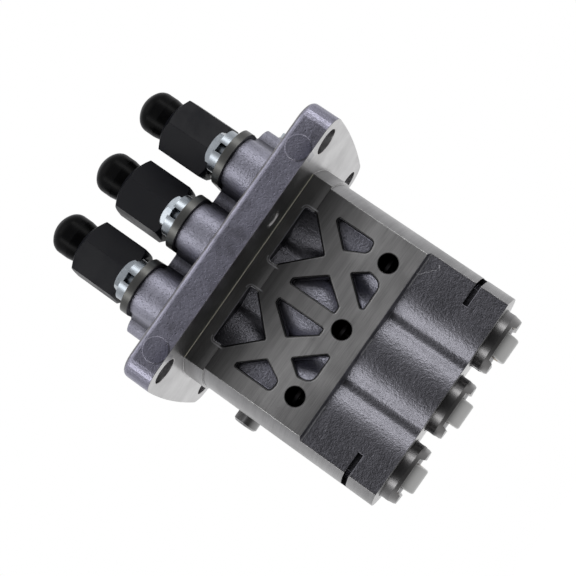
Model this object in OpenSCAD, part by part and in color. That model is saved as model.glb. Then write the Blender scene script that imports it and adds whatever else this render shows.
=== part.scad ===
// Three-cylinder flange-mounted injection pump with roller tappets, in millimetres.
// Origin: middle of the flange bolt pattern, on the mounting face of the flange.
// +Z points to the delivery outlets, +X runs along the row, -Y is the machined front.

/* [Row of elements] */
// Distance from one pumping element to the next
pitch = 30; // [29.6:0.1:31]
// Sideways offset of the row from the middle of the bolt pattern
row_offset = -1.8; // [-2.5:0.1:2.5]

/* [Mounting flange] */
// Length of the flange along the row
flange_w = 124.6; // [122:0.2:130]
// Depth of the flange, front to back
flange_d = 93.6; // [90:0.2:100]
// Thickness of the flange
flange_t = 12.3; // [10:0.1:14]
// Radius of the flange's corners
flange_corner = 9; // [6:0.5:11]
// How far the flange's ends bulge outwards at the middle
flange_crown = 2; // [1:0.1:3]
// Radius of the cast edge round the top of the flange
flange_edge = 2.4; // [1:0.1:3]
// Bolt spacing along the row
bolt_x = 102.8; // [100:0.1:104]
// Bolt spacing front to back
bolt_y = 73.6; // [70:0.1:76]
// Diameter of the bolt holes
bolt_hole_d = 11; // [9:0.1:12]
// Diameter of the dowel hole in the flange's front overhang
dowel_hole_d = 7; // [5:0.1:8]
// Distance of the dowel hole from the middle element along the row
dowel_x = 18.8; // [12:0.1:24]
// Distance of the dowel hole in front of the row
dowel_y = 35.3; // [32:0.1:38]
// Chamfer round the mouth of the dowel hole
dowel_chamfer = 0.6; // [0.2:0.1:1]
// Diameter of the round cast marks on the flange's front edge
cast_mark_d = 9.8; // [6:0.1:11]
// Distance of each cast mark from the middle element
cast_mark_x = 44.5; // [40:0.1:48]
// How far the cast marks stand proud
cast_mark_h = 0.4; // [0.2:0.1:1]

/* [Body] */
// Diameter of the turned pilot under the flange
pilot_d = 97; // [96:0.1:99]
// Height of the turned pilot
pilot_h = 8.7; // [6:0.1:10]
// Distance of the pilot's front flat from the row
pilot_flat = 23.9; // [23:0.1:25]
// Diameter of the turned body
body_d = 95.2; // [94.4:0.1:95.8]
// Height of the body below the mounting face
body_h = 87.5; // [84:0.1:90]
// Distance of the cast front and rear faces from the row
cast_flat = 21.6; // [21:0.1:22.2]
// Radius in the valleys between the cast cylinders
valley_r = 5; // [3:0.1:6]
// Distance of the machined pad from the row
pad_flat = 24.1; // [23.4:0.1:25]
// Lower edge of the machined pad below the mounting face
pad_bottom = 52.8; // [50:0.1:54]
// Height of the bevel under the machined pad
pad_bevel = 0.7; // [0.5:0.1:1.8]
// Radius of the rounded rims round the pockets in the pad
pocket_rim = 0.8; // [0.4:0.1:0.9]
// Diameter of the inspection holes in the pad
window_d = 7.6; // [6:0.1:8]
// Depth of the inspection holes below the mounting face
window_z = 42.8; // [42.4:0.1:44]
// Width of the grooves at the lower front corners
groove_w = 2.2; // [1.5:0.1:3]
// Depth of those grooves
groove_depth = 2.6; // [1:0.1:3]
// Height of those grooves below the mounting face
groove_z = 74.5; // [73:0.1:78]
// Start of those grooves, from the middle element
groove_x = 33.2; // [30:0.1:38]

/* [Head] */
// Top of the cast head above the mounting face
head_top = 28; // [27:0.1:29]
// How far the head reaches past the end elements
head_end = 18; // [16:0.1:19]
// Depth of the head block, front to back
head_d = 31; // [28:0.1:33]
// Radius of the head block's upright corners
head_corner = 8; // [5:0.1:10]
// Distance of the clamp screws from the row
screw_y = 21; // [20.8:0.1:22]
// Radius of the screw bosses
boss_r = 10.3; // [9:0.1:11]
// Radius of the fillet round the foot of each boss
boss_fillet = 3; // [1:0.1:3.4]
// Diameter of the fuel gallery along the head
gallery_d = 8; // [6:0.1:9]
// Height of the fuel gallery above the mounting face
gallery_z = 19; // [18.6:0.1:19.4]
// Diameter of the fuel inlet and of the plug's hole
port_d = 9; // [8.4:0.1:9.6]
// Depth of those two holes
port_depth = 7; // [5:0.1:7.4]

/* [Barrel] */
// Thickness of the barrel's clamping flange
plate_t = 3.2; // [2.6:0.1:4]
// Width of the clamping flange along the row
plate_w = 24; // [22:0.1:25]
// Diameter of the barrel inside the head
barrel_d = 20; // [19:0.1:20.4]
// Diameter of the waist that the fuel runs round
waist_d = 17; // [16:0.1:18]
// Diameter of the lower stem that carries the control sleeve
stem_d = 15; // [14.6:0.1:15.4]
// Bottom of the lower stem below the mounting face
stem_bottom = 26; // [25:0.1:26.4]
// Diameter of the threaded collar above the clamping flange
collar_d = 19; // [18:0.1:21]
// Height of that collar
collar_h = 8.2; // [7:0.1:8.6]
// Diameter of the plunger
plunger_d = 7; // [6:0.1:7.2]

/* [Clamp screws] */
// Thread diameter of the clamp screws
screw_d = 8; // [7:0.1:8.2]
// Width across flats of the screw heads
screw_af = 12.4; // [12:0.1:13.2]
// Height of the screw heads
screw_head_h = 3; // [2.8:0.1:5]
// Outer diameter of the notched rings
ring_d = 17.8; // [16.6:0.1:18]
// Height of the notched rings
ring_h = 4.5; // [3.6:0.1:4.8]
// Width of the notch in each ring
ring_notch = 3.9; // [2:0.1:5]

/* [Delivery valve] */
// Width across flats of the valve holder
holder_af = 23; // [21:0.1:23.4]
// Bottom of the holder's hexagon above the mounting face
hex_bottom = 40; // [39.8:0.1:42]
// Height of the holder's hexagon
hex_h = 24.5; // [20:0.1:26]
// Diameter of the holder's neck and of its screwed stem
holder_stem_d = 14; // [13:0.1:14.4]
// Diameter of the outlet nipple under the cap
nipple_d = 12; // [10:0.1:13]
// Height of the outlet nipple
nipple_h = 9; // [7:0.1:10]
// Diameter of the protective cap
cap_d = 17.8; // [17:0.1:19]
// Height of the protective cap
cap_h = 14.6; // [13:0.1:16]
// Height of the cap's dome
cap_dome = 6.6; // [6:0.1:7.4]
// Radius where the dome turns into the cap's side
cap_shoulder = 5.2; // [4.8:0.1:5.6]
// How much narrower the cap is at its foot, on the radius
cap_taper = 0.6; // [0.2:0.1:0.9]

/* [Control rack] */
// Module of the rack and pinions
gear_module = 1; // [0.98:0.01:1.02]
// Height of the rack below the mounting face
rack_z = 27; // [26.6:0.1:27.4]
// Diameter of the rack
rack_d = 10.4; // [10:0.1:10.6]
// How far the rack reaches past the first element
rack_left = 22.6; // [20:0.1:26]
// How far the rack reaches past the last element
rack_right = 12.5; // [12.2:0.1:13.5]
// Travel of the rack each way from its middle
rack_travel = 8; // [6:0.1:8]

/* [Tappet] */
// Diameter of the tappets
tappet_d = 26; // [25.8:0.1:26.2]
// How far the tappets stand out below the body
tappet_reach = 6.8; // [5.6:0.1:8]
// Length of the tappets
tappet_l = 34; // [33:0.1:35]
// Lift of the tappets
tappet_lift = 8; // [6:0.1:8]
// Diameter of the rollers
roller_d = 16; // [15:0.1:16.4]
// Width of the rollers
roller_w = 10.8; // [9.6:0.1:11]
// How far the rollers stand out below the tappets
roller_reach = 3.3; // [2.8:0.1:4]
// Diameter of the roller pins
roller_pin_d = 8; // [7:0.1:8.4]
// Width of the slot across the foot of the tappets
fork_w = 15; // [14:0.1:16]
// Depth of that slot
fork_depth = 1.6; // [1:0.1:2.4]

/* [Plunger spring] */
// Wire thickness of the plunger springs
spring_wire = 2.6; // [2:0.1:2.8]
// Middle diameter of the plunger springs
spring_d = 19; // [18.6:0.1:19.2]
// Turns of the plunger springs
spring_turns = 4.5; // [4:0.5:5]

/* [Hidden] */
$fn = 72;
slack = 0.05;
running = 0.02;
through = 1;
body_r = body_d / 2;
pilot_r = pilot_d / 2;
columns = [-pitch, 0, pitch];
barrel_r = barrel_d / 2;
waist_bottom = 7;
waist_top = gallery_z + gallery_d / 2 + 1;
port_z = 9;
groove_h = 1.8;
upper_groove_z = waist_top + 0.8;
lower_groove_z = waist_bottom - 2.8;
shoulder_z = -4;
plate_top = head_top + plate_t;
collar_top = plate_top + collar_h;
hex_top = hex_bottom + hex_h;

// Delivery valve stack inside the barrel
seat_bottom = 16;
seat_h = 6;
gasket_h = 1.5;
seat_top = seat_bottom + seat_h;
holder_bottom = seat_top + gasket_h;
valve_r = 3;
valve_head_r = 4.2;
valve_head_h = 2.4;
holder_cavity_r = 5.2;
holder_cavity_top = 37;
outlet_r = 1.5;
holder_turn = [38.4, 39.7, 23];
valve_spring_wire = 0.9;
valve_spring_r = 3.4;
valve_spring_turns = 6;

// Control gear: the pinions turn on the barrel stems and mesh with the rack
pinion_teeth = 22;
pinion_r = gear_module * pinion_teeth / 2;
pinion_tip = pinion_r + gear_module;
pinion_root = pinion_r - 1.25 * gear_module;
pinion_h = 11;
tooth_half = 90 / pinion_teeth;
backlash = 0.12;
rack_r = rack_d / 2;
rack_y = pinion_r - gear_module + rack_r;
rack_chamfer = 0.8;
rack_pitch = PI * gear_module;
sleeve_top = 18;
sleeve_bottom = 40.5;
sleeve_wall_r = pinion_root - slack;
vane_w = 4;
vane_h = 4;
vane_bottom = 38.5;
vane_r = 8.6;

// Spring and tappet stack
chamber_r = pinion_tip + 0.3;
chamber_top = sleeve_top - 1;
seat_ring_top = 41;
seat_ring_t = 1.5;
tappet_bottom = body_h + tappet_reach;
roller_bottom = tappet_bottom + roller_reach;
tappet_r = tappet_d / 2;
tappet_bore_r = tappet_r + slack;
tappet_top = tappet_bottom - tappet_l;
tappet_floor = tappet_top + 6;
lower_seat_t = 3.5;
lower_seat_r = 11;
spring_bottom = tappet_floor - lower_seat_t;
spring_top = seat_ring_top + seat_ring_t;
foot_t = 1.8;
foot_r = 4.5;
neck_r = 2.5;
neck_h = 3.6;
roller_r = roller_d / 2;
roller_z = roller_bottom - roller_r;
roller_pin_r = roller_pin_d / 2;
roller_pin_l = 24.4;
bush_r = roller_pin_r + 1.5;
roller_gap = 0.3;
roller_edge = 0.9;
guide_pin_r = 2.5;
guide_pin_z = body_h - 17.5;
guide_groove_depth = 1.9;
guide_screw_x = pitch / 2;
guide_screw_r = 2;

// Clamp screws: height of their lower ends, and how far each column's heads are turned
screw_head_bottom = plate_top + ring_h;
screw_end = head_top - 12;
screw_turn = [45.2, 34.8, 15.2];
plug_socket_af = 5;
plug_socket_depth = 4;

// Outlines of the pockets in the right half of the pad, clockwise: distance along the row,
// depth below the mounting face and corner radius. The left half mirrors them.
pocket_top = [[5.2, 4.1, 1.9], [31.1, 4.1, 1.8], [30.8, 10.1, 2], [19.1, 22.1, 1],
    [5.4, 8.2, 2]];
pocket_middle = [[2.9, 16.3, 1.2], [5.7, 16.3, 1.2], [14.5, 27.3, 1], [6.6, 37.5, 1.2],
    [2.9, 37.5, 1.2]];
pocket_side = [[24.2, 26.2, 1], [32.2, 17.3, 1.2], [34.4, 17.3, 1.2], [34.4, 34.4, 2.2],
    [28.7, 35.1, 3]];
pocket_low = [[19.2, 32.7, 1], [24, 39.2, 2], [23.1, 45.6, 4.4], [10.4, 45.6, 1.3],
    [9.9, 43.7, 1]];

// Points of an arc round (x, y), from angle a to angle b
function arc(x, y, r, a, b, steps) =
    [for (i = [0 : steps]) let (t = a + (b - a) * i / steps) [x + r * cos(t), y + r * sin(t)]];

// Outline of the flange, drawn in by a margin: crowned ends and rounded corners
function flange_outline(margin) =
    let (
        half_d = flange_d / 2,
        crown_r = (flange_d * flange_d / 4 + flange_crown * flange_crown) / (2 * flange_crown),
        crown_x = flange_w / 2 - crown_r,
        corner_y = half_d - flange_corner,
        lean = asin(corner_y / (crown_r - flange_corner)),
        corner_x = crown_x + (crown_r - flange_corner) * cos(lean),
        r = flange_corner - margin,
        big_r = crown_r - margin,
        right = concat(
            arc(corner_x, -corner_y, r, -90, -lean, 8),
            arc(crown_x, 0, big_r, -lean + 1, lean - 1, 8),
            arc(corner_x, corner_y, r, lean, 90, 8)))
    concat(right, [for (i = [0 : len(right) - 1]) [-right[i].x, -right[i].y]]);

// Unit vector from a to b
function toward(a, b) = (b - a) / norm(b - a);

// One corner of a polygon as an arc that touches both of its sides
function round_corner(a, p, b, r, steps) =
    let (
        u = toward(p, a),
        v = toward(p, b),
        half = acos(max(-1, min(1, u * v))) / 2,
        middle = toward([0, 0], u + v),
        centre = p + middle * r / sin(half),
        from = p + u * r / tan(half) - centre,
        to = p + v * r / tan(half) - centre,
        start = atan2(from.y, from.x),
        turn = atan2(to.y, to.x) - start,
        sweep = turn > 180 ? turn - 360 : turn < -180 ? turn + 360 : turn)
    arc(centre.x, centre.y, r, start, start + sweep, steps);

function flat(p) = [p.x, p.y];

// Polygon with each corner rounded to the radius given as its third number
function rounded(points) =
    let (n = len(points))
    [for (i = [0 : n - 1])
        for (q = round_corner(flat(points[(i + n - 1) % n]), flat(points[i]),
            flat(points[(i + 1) % n]), points[i].z, 4)) q];

// The same polygon drawn in by a margin, with its corner radii reduced to match
function inset(points, margin) =
    let (n = len(points))
    [for (i = [0 : n - 1])
        let (
            p = flat(points[i]),
            u = toward(p, flat(points[(i + n - 1) % n])),
            v = toward(p, flat(points[(i + 1) % n])),
            half = acos(u * v) / 2,
            q = p + toward([0, 0], u + v) * margin / sin(half))
        [q.x, q.y, points[i].z - margin]];

// A helical wire as one swept solid: ring by ring along the coil
module coil(wire, r, height, turns, per_turn, sides) {
    rings = ceil(turns * per_turn);
    climb = height - wire;
    points = [for (i = [0 : rings])
        let (
            t = 360 * turns * i / rings,
            lean = atan2(climb, 2 * PI * r * turns))
        for (j = [0 : sides - 1])
            let (
                s = 360 * j / sides,
                out = cos(s) * wire / 2,
                up = sin(s) * wire / 2)
            [(r + out) * cos(t) + up * sin(lean) * sin(t),
             (r + out) * sin(t) - up * sin(lean) * cos(t),
             wire / 2 + climb * i / rings + up * cos(lean)]];
    walls = [for (i = [0 : rings - 1]) for (j = [0 : sides - 1])
        let (a = i * sides + j, b = i * sides + (j + 1) % sides)
        [a, a + sides, b + sides, b]];
    first = [[for (j = [0 : sides - 1]) j]];
    last = [[for (j = [sides - 1 : -1 : 0]) rings * sides + j]];
    polyhedron(points, concat(walls, first, last), 4);
}

// Places its children at the first element, or at each element in turn
module at_column(k) {
    translate([row_offset + columns[k - 1], 0, 0]) children();
}

module at_columns() {
    for (k = [1 : len(columns)]) at_column(k) children();
}

// Places its children at the two clamp screws of each element, turned to face outwards
module at_screws() {
    at_columns() for (side = [-1, 1])
        translate([0, side * screw_y, 0]) rotate([0, 0, side < 0 ? 0 : 180]) children();
}

// Washer or ring standing on height z
module ring(outer, inner, z, height) {
    translate([0, 0, z]) difference() {
        cylinder(r = outer, h = height);
        translate([0, 0, -through]) cylinder(r = inner, h = height + 2 * through);
    }
}

// Section of the cast body: three cylinders with rounded valleys and flat ends
module cast_section() {
    lobe = cast_flat + valley_r;
    valley_y = sqrt(lobe * lobe - pitch * pitch / 4);
    intersection() {
        circle(r = body_r, $fn = 180);
        union() {
            for (x = columns) translate([x, 0]) circle(r = cast_flat, $fn = 120);
            for (side = [-1, 1]) translate([side * pitch, 0])
                translate([side > 0 ? 0 : -body_r, -cast_flat])
                    square([body_r, 2 * cast_flat]);
            for (x = [-pitch / 2, pitch / 2]) translate([x, 0]) difference() {
                polygon([[-pitch / 2, 0], [0, -valley_y], [pitch / 2, 0], [0, valley_y]]);
                for (side = [-1, 1]) translate([0, side * valley_y])
                    circle(r = valley_r);
            }
        }
    }
}

// Front slab that carries the machined pad, from depth a to depth b below the face
module front_slab(r, flat, a, b) {
    translate([0, 0, -b]) linear_extrude(b - a) intersection() {
        circle(r = r, $fn = 180);
        translate([-r, -flat]) square([2 * r, flat]);
    }
}

// One pocket as a closed skin: straight walls that open out into a rounded rim at the pad
module pocket(shape) {
    levels = concat([[0, pocket_rim]],
        [for (a = [90 : -30 : 0])
            [pad_flat - pocket_rim * (1 - cos(a)), pocket_rim * sin(a)]],
        [[pad_flat + through, 0]]);
    loops = [for (level = levels)
        [for (p = rounded(inset(shape, level[1]))) [p.x, -level[0], -p.y]]];
    n = len(loops[0]);
    walls = [for (i = [0 : len(levels) - 2]) for (j = [0 : n - 1])
        let (a = i * n + j, b = i * n + (j + 1) % n)
        [a, b, b + n, a + n]];
    rear = [[for (j = [n - 1 : -1 : 0]) j]];
    front = [[for (j = [0 : n - 1]) (len(levels) - 1) * n + j]];
    polyhedron([for (loop = loops) for (p = loop) p], concat(walls, rear, front));
}

// The pockets that leave the crossed ribs standing on the pad
module pockets() {
    for (side = [0, 1]) mirror([side, 0, 0])
        for (shape = [pocket_top, pocket_middle, pocket_side, pocket_low]) pocket(shape);
}

// Bevel that runs the pad's lower edge out into the cast front
module pad_edge() {
    intersection() {
        translate([-body_r, 0, 0]) rotate([90, 0, 90]) linear_extrude(body_d)
            polygon([[0, -pad_bottom], [-pad_flat, -pad_bottom],
                [-cast_flat, -pad_bottom - pad_bevel], [0, -pad_bottom - pad_bevel]]);
        translate([0, 0, -body_h]) cylinder(r = body_r, h = body_h, $fn = 180);
    }
}

module machined_front() {
    difference() {
        union() {
            front_slab(pilot_r, pilot_flat, 0, pilot_h);
            front_slab(body_r, pad_flat, pilot_h, pad_bottom);
            pad_edge();
        }
        pockets();
    }
}

module turned_pilot() {
    translate([0, 0, -pilot_h]) linear_extrude(pilot_h) intersection() {
        circle(r = pilot_r, $fn = 180);
        translate([-pilot_r, -cast_flat + valley_r]) square([2 * pilot_r, cast_flat + pilot_flat - valley_r]);
    }
}

// Tunnel on the rear that the control rack runs in
module rack_tunnel() {
    intersection() {
        translate([-body_r, rack_y, -rack_z]) rotate([0, 90, 0])
            cylinder(r = rack_r + 3.8, h = body_d);
        translate([0, 0, -body_h]) cylinder(r = body_r, h = body_h, $fn = 180);
    }
}

// Flange as one closed skin: straight sides, then a quarter round to the top
module flange_plate() {
    steps = 5;
    levels = concat([[0, 0]], [for (i = [0 : steps]) let (t = 90 * i / steps)
        [flange_edge * (1 - cos(t)), flange_t - flange_edge * (1 - sin(t))]]);
    loops = [for (level = levels)
        [for (p = flange_outline(level[0])) [p.x, p.y, level[1]]]];
    n = len(loops[0]);
    walls = [for (i = [0 : len(levels) - 2]) for (j = [0 : n - 1])
        let (a = i * n + j, b = i * n + (j + 1) % n)
        [a, a + n, b + n, b]];
    bottom = [[for (j = [0 : n - 1]) j]];
    top = [[for (j = [n - 1 : -1 : 0]) (len(levels) - 1) * n + j]];
    polyhedron([for (loop = loops) for (p = loop) p], concat(walls, bottom, top));
}

module cast_marks() {
    for (side = [-1, 1])
        translate([row_offset + side * cast_mark_x, -flange_d / 2 + through, cast_mark_d / 2])
            rotate([90, 0, 0]) cylinder(d = cast_mark_d, h = through + cast_mark_h);
}

// Cast head: block with rounded corners and a boss for each clamp screw
module head() {
    half_l = pitch + head_end;
    half_d = head_d / 2;
    translate([-half_l + head_corner, -half_d, 0])
        cube([2 * half_l - 2 * head_corner, head_d, head_top]);
    translate([-half_l, -half_d + head_corner, 0])
        cube([2 * half_l, head_d - 2 * head_corner, head_top]);
    for (sx = [-1, 1]) for (sy = [-1, 1])
        translate([sx * (half_l - head_corner), sy * (half_d - head_corner), 0])
            cylinder(r = head_corner, h = head_top);
    for (x = columns) for (turn = [0, 180]) translate([x, 0, 0]) rotate([0, 0, turn]) {
        translate([0, screw_y, 0]) cylinder(r = boss_r, h = head_top);
        linear_extrude(head_top) polygon([[-boss_r - 2.6, half_d - 1],
            [boss_r + 2.6, half_d - 1], [boss_r - 0.2, screw_y], [-boss_r + 0.2, screw_y]]);
        translate([0, screw_y, flange_t - through]) rotate_extrude() difference() {
            square([boss_r + boss_fillet, boss_fillet + through]);
            translate([boss_r + boss_fillet, boss_fillet + through])
                circle(r = boss_fillet);
        }
    }
}

// Grooves across the lower front corners of the body
module corner_grooves() {
    for (side = [0, 1]) mirror([side, 0, 0]) translate([0, 0, -groove_z - groove_w / 2]) {
        translate([groove_x, -cast_flat - through, 0])
            cube([body_r, groove_depth + through, groove_w]);
        intersection() {
            difference() {
                cylinder(r = body_r + through, h = groove_w, $fn = 180);
                translate([0, 0, -through])
                    cylinder(r = body_r - groove_depth, h = groove_w + 2 * through, $fn = 180);
            }
            translate([0, -cast_flat - through, 0]) cube([body_d, cast_flat, groove_w]);
        }
    }
}

// Everything that is bored, drilled or milled out for one element
module element_bores() {
    translate([0, 0, -body_h - through])
        cylinder(r = tappet_bore_r, h = body_h - seat_ring_top + through);
    translate([0, 0, -seat_ring_top - slack])
        cylinder(r = chamber_r, h = seat_ring_top - chamber_top + slack);
    translate([0, 0, -chamber_top - slack])
        cylinder(r = barrel_r + slack, h = chamber_top + head_top + slack + through);
    translate([0, 0, -window_z]) rotate([90, 0, 0])
        cylinder(d = window_d, h = pad_flat + through);
    translate([0, 0, -guide_pin_z]) rotate([-90, 0, 0])
        cylinder(r = guide_pin_r + running, h = cast_flat + through);
}

module pump_body() {
    color("dimgray") difference() {
        union() {
            flange_plate();
            cast_marks();
            translate([row_offset, 0, 0]) {
                translate([0, 0, -body_h]) linear_extrude(body_h + through) cast_section();
                machined_front();
                turned_pilot();
                rack_tunnel();
                head();
            }
        }
        at_columns() element_bores();
        at_screws() translate([0, 0, screw_end - through])
            cylinder(r = screw_d / 2 + slack, h = head_top);
        translate([row_offset, 0, 0]) {
            corner_grooves();
            translate([-body_d, rack_y, -rack_z]) rotate([0, 90, 0])
                cylinder(r = rack_r + slack, h = 2 * body_d);
            translate([guide_screw_x, rack_y, -rack_z]) rotate([-90, 0, 0])
                cylinder(r = guide_screw_r + slack, h = body_r);
            translate([-body_d, 0, gallery_z]) rotate([0, 90, 0])
                cylinder(d = gallery_d, h = 2 * body_d);
            for (side = [-1, 1])
                translate([side * (pitch + head_end - port_depth), 0, gallery_z])
                    rotate([0, side * 90, 0]) cylinder(d = port_d, h = port_depth + through);
            translate([dowel_x, -dowel_y, -through])
                cylinder(d = dowel_hole_d, h = flange_t + 2 * through);
            translate([dowel_x, -dowel_y, -through])
                cylinder(r1 = dowel_hole_d / 2 + dowel_chamfer + through,
                    r2 = dowel_hole_d / 2, h = dowel_chamfer + through);
        }
        for (x = [-bolt_x / 2, bolt_x / 2]) for (y = [-bolt_y / 2, bolt_y / 2])
            translate([x, y, -through]) cylinder(d = bolt_hole_d, h = flange_t + 2 * through);
    }
}

// Plunger barrel: clamping flange, screwed collar, waist for the fuel, stem for the sleeve
module barrel(k) {
    color("slategray") at_column(k) difference() {
        union() {
            translate([0, 0, head_top]) linear_extrude(plate_t) {
                for (side = [-1, 1]) translate([0, side * screw_y]) circle(d = plate_w);
                translate([-plate_w / 2, -screw_y]) square([plate_w, 2 * screw_y]);
            }
            translate([0, 0, plate_top]) cylinder(d = collar_d, h = collar_h);
            translate([0, 0, waist_top]) cylinder(r = barrel_r, h = head_top - waist_top);
            translate([0, 0, waist_bottom]) cylinder(d = waist_d, h = waist_top - waist_bottom);
            translate([0, 0, shoulder_z]) cylinder(r = barrel_r, h = waist_bottom - shoulder_z);
            translate([0, 0, -stem_bottom]) cylinder(d = stem_d, h = stem_bottom);
        }
        translate([0, 0, -stem_bottom - through])
            cylinder(d = plunger_d, h = stem_bottom + seat_bottom + 2 * through);
        translate([0, 0, seat_bottom])
            cylinder(d = holder_stem_d + 2 * slack, h = collar_top);
        translate([-barrel_r, 0, port_z]) rotate([0, 90, 0]) cylinder(r = 1.5, h = barrel_d);
        for (z = [upper_groove_z, lower_groove_z])
            ring(barrel_r + through, barrel_r - 1.4, z, groove_h);
        for (side = [-1, 1]) translate([0, side * screw_y, head_top - through])
            cylinder(r = screw_d / 2 + 0.3, h = plate_t + 2 * through);
    }
}

module barrel_o_rings() {
    section_r = 0.7;
    color("black") at_columns()
        for (z = [upper_groove_z, lower_groove_z])
            translate([0, 0, z + groove_h / 2]) rotate_extrude()
                translate([barrel_r - section_r, 0]) circle(r = section_r, $fn = 24);
}

module barrel_screws() {
    color("gainsboro") for (k = [1 : len(columns)]) at_column(k) for (side = [-1, 1])
        translate([0, side * screw_y, 0]) {
            translate([0, 0, screw_end])
                cylinder(d = screw_d, h = screw_head_bottom - screw_end + through);
            translate([0, 0, screw_head_bottom]) intersection() {
                rotate([0, 0, screw_turn[k - 1]])
                    cylinder(d = screw_af / cos(30), h = screw_head_h, $fn = 6);
                union() {
                    cylinder(r = screw_af, h = screw_head_h - 0.8);
                    translate([0, 0, screw_head_h - 0.8])
                        cylinder(r1 = screw_af * 0.575, r2 = screw_af * 0.5, h = 0.8);
                }
            }
        }
}

// Distance ring under each screw head, notched at the front
module notched_rings() {
    color("gainsboro") at_screws() difference() {
        ring(ring_d / 2, screw_d / 2 + 0.1, plate_top, ring_h);
        translate([-ring_notch / 2, -ring_d, plate_top + 0.8])
            cube([ring_notch, ring_d, ring_h]);
    }
}

module valve_seat(k) {
    color("silver") at_column(k) difference() {
        translate([0, 0, seat_bottom]) cylinder(d = holder_stem_d, h = seat_h);
        translate([0, 0, seat_bottom - through]) cylinder(r = valve_r, h = seat_h + 2 * through);
    }
}

module valve_gaskets() {
    color("peru") at_columns()
        ring(holder_stem_d / 2, valve_head_r + 0.6, seat_top, gasket_h);
}

// Delivery valve: fluted stem, retraction collar and head
module delivery_valve(k) {
    color("silver") at_column(k) {
        difference() {
            translate([0, 0, seat_bottom + 0.6])
                cylinder(r = valve_r - running, h = seat_h - 0.6);
            for (turn = [0 : 90 : 270]) rotate([0, 0, turn])
                translate([1.1, 1.1, seat_bottom]) cube([valve_r, valve_r, seat_h - 1.6]);
        }
        translate([0, 0, seat_top]) cylinder(r = valve_head_r, h = valve_head_h / 2);
        translate([0, 0, seat_top + valve_head_h / 2])
            cylinder(r = valve_spring_r - valve_spring_wire, h = valve_head_h + 1);
    }
}

module valve_spring(k) {
    bottom = seat_top + valve_head_h / 2;
    color("silver") at_column(k) translate([0, 0, bottom])
        coil(valve_spring_wire, valve_spring_r, holder_cavity_top - bottom,
            valve_spring_turns, 12, 6);
}

// Delivery valve holder: hexagon with turned ends, screwed stem, nipple with a cone
module delivery_holder(k) {
    half_af = holder_af / 2;
    corner_r = half_af / cos(30);
    color([0.1, 0.1, 0.11]) at_column(k) difference() {
        union() {
            intersection() {
                translate([0, 0, hex_bottom]) rotate([0, 0, holder_turn[k - 1]])
                    cylinder(r = corner_r, h = hex_h, $fn = 6);
                union() {
                    translate([0, 0, hex_bottom])
                        cylinder(r1 = corner_r - 2.3, r2 = corner_r + 0.1, h = 2.4);
                    translate([0, 0, hex_bottom + 2.4])
                        cylinder(r = corner_r + 0.1, h = hex_h - 5);
                    translate([0, 0, hex_top - 2.6])
                        cylinder(r1 = corner_r + 0.1, r2 = corner_r - 4.1, h = 2.6);
                }
            }
            translate([0, 0, holder_bottom])
                cylinder(d = holder_stem_d, h = hex_bottom - holder_bottom + through);
            translate([0, 0, collar_top + slack])
                cylinder(r = holder_stem_d / 2 + 2, h = hex_bottom - collar_top);
            translate([0, 0, hex_top - through]) cylinder(d = nipple_d, h = nipple_h + through);
        }
        translate([0, 0, holder_bottom - through])
            cylinder(r = holder_cavity_r, h = holder_cavity_top - holder_bottom + through);
        cylinder(r = outlet_r, h = hex_top + nipple_h + through);
        translate([0, 0, hex_top + nipple_h - 3])
            cylinder(r1 = outlet_r, r2 = outlet_r + 3.2, h = 3.01);
    }
}

// Half of the cap's outline: tapered skirt, shoulder arc, and a flatter arc over the top
module cap_profile() {
    cap_r = cap_d / 2;
    shoulder_top = cap_h - cap_dome;
    e = cap_r - cap_shoulder;
    rise = cap_dome - cap_shoulder;
    sink = (e * e - rise * rise) / (2 * rise);
    top_r = cap_dome + sink;
    polygon([[0, slack], [cap_r - cap_taper, slack], [cap_r, shoulder_top / 2],
        [cap_r, shoulder_top], [0, shoulder_top]]);
    intersection() {
        square([cap_r, cap_h]);
        union() {
            translate([e, shoulder_top]) circle(r = cap_shoulder);
            translate([0, shoulder_top - sink]) intersection() {
                circle(r = top_r, $fn = 120);
                polygon([[0, 0], [0, top_r * 2], [e / sink * top_r * 2, top_r * 2]]);
            }
            translate([0, shoulder_top]) square([e, cap_shoulder]);
        }
    }
}

// Rubber cap over the outlet nipple
module outlet_cap(k) {
    color([0.06, 0.06, 0.06]) at_column(k) translate([0, 0, hex_top]) difference() {
        rotate_extrude() cap_profile();
        translate([0, 0, -through])
            cylinder(d = nipple_d + 2 * slack, h = nipple_h + 0.3 + through);
    }
}

// One pinion tooth, narrowing towards its tip
module tooth_space(r_inner, r_outer, half_inner, half_outer, h) {
    linear_extrude(h) polygon([
        [r_inner * cos(-half_inner), r_inner * sin(-half_inner)],
        [r_outer * cos(-half_outer), r_outer * sin(-half_outer)],
        [r_outer * cos(half_outer), r_outer * sin(half_outer)],
        [r_inner * cos(half_inner), r_inner * sin(half_inner)]]);
}

// Control sleeve: toothed ring on a tube whose keyways turn the plunger's vane.
// The teeth stand in the rack's spaces at rest, though the pitch is no whole number of teeth.
module control_sleeve(k) {
    root_half = tooth_half * 1.62;
    tip_half = tooth_half * 0.56;
    rest_turn = 90 - 360 / pinion_teeth * sleeve_phase(k);
    color("silver") at_column(k) difference() {
        union() {
            translate([0, 0, -sleeve_bottom])
                cylinder(r = sleeve_wall_r, h = sleeve_bottom - sleeve_top);
            translate([0, 0, -rack_z - pinion_h / 2])
                for (i = [0 : pinion_teeth - 1])
                    rotate([0, 0, rest_turn + 360 / pinion_teeth * i])
                        tooth_space(sleeve_wall_r - 0.6, pinion_tip, root_half, tip_half, pinion_h);
        }
        translate([0, 0, -sleeve_bottom - through])
            cylinder(d = stem_d + 2 * slack, h = sleeve_bottom);
        translate([-vane_r - 0.1, -vane_w / 2 - slack, -sleeve_bottom - through])
            cube([2 * vane_r + 0.2, vane_w + 2 * slack, sleeve_bottom - stem_bottom + through]);
    }
}

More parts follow.
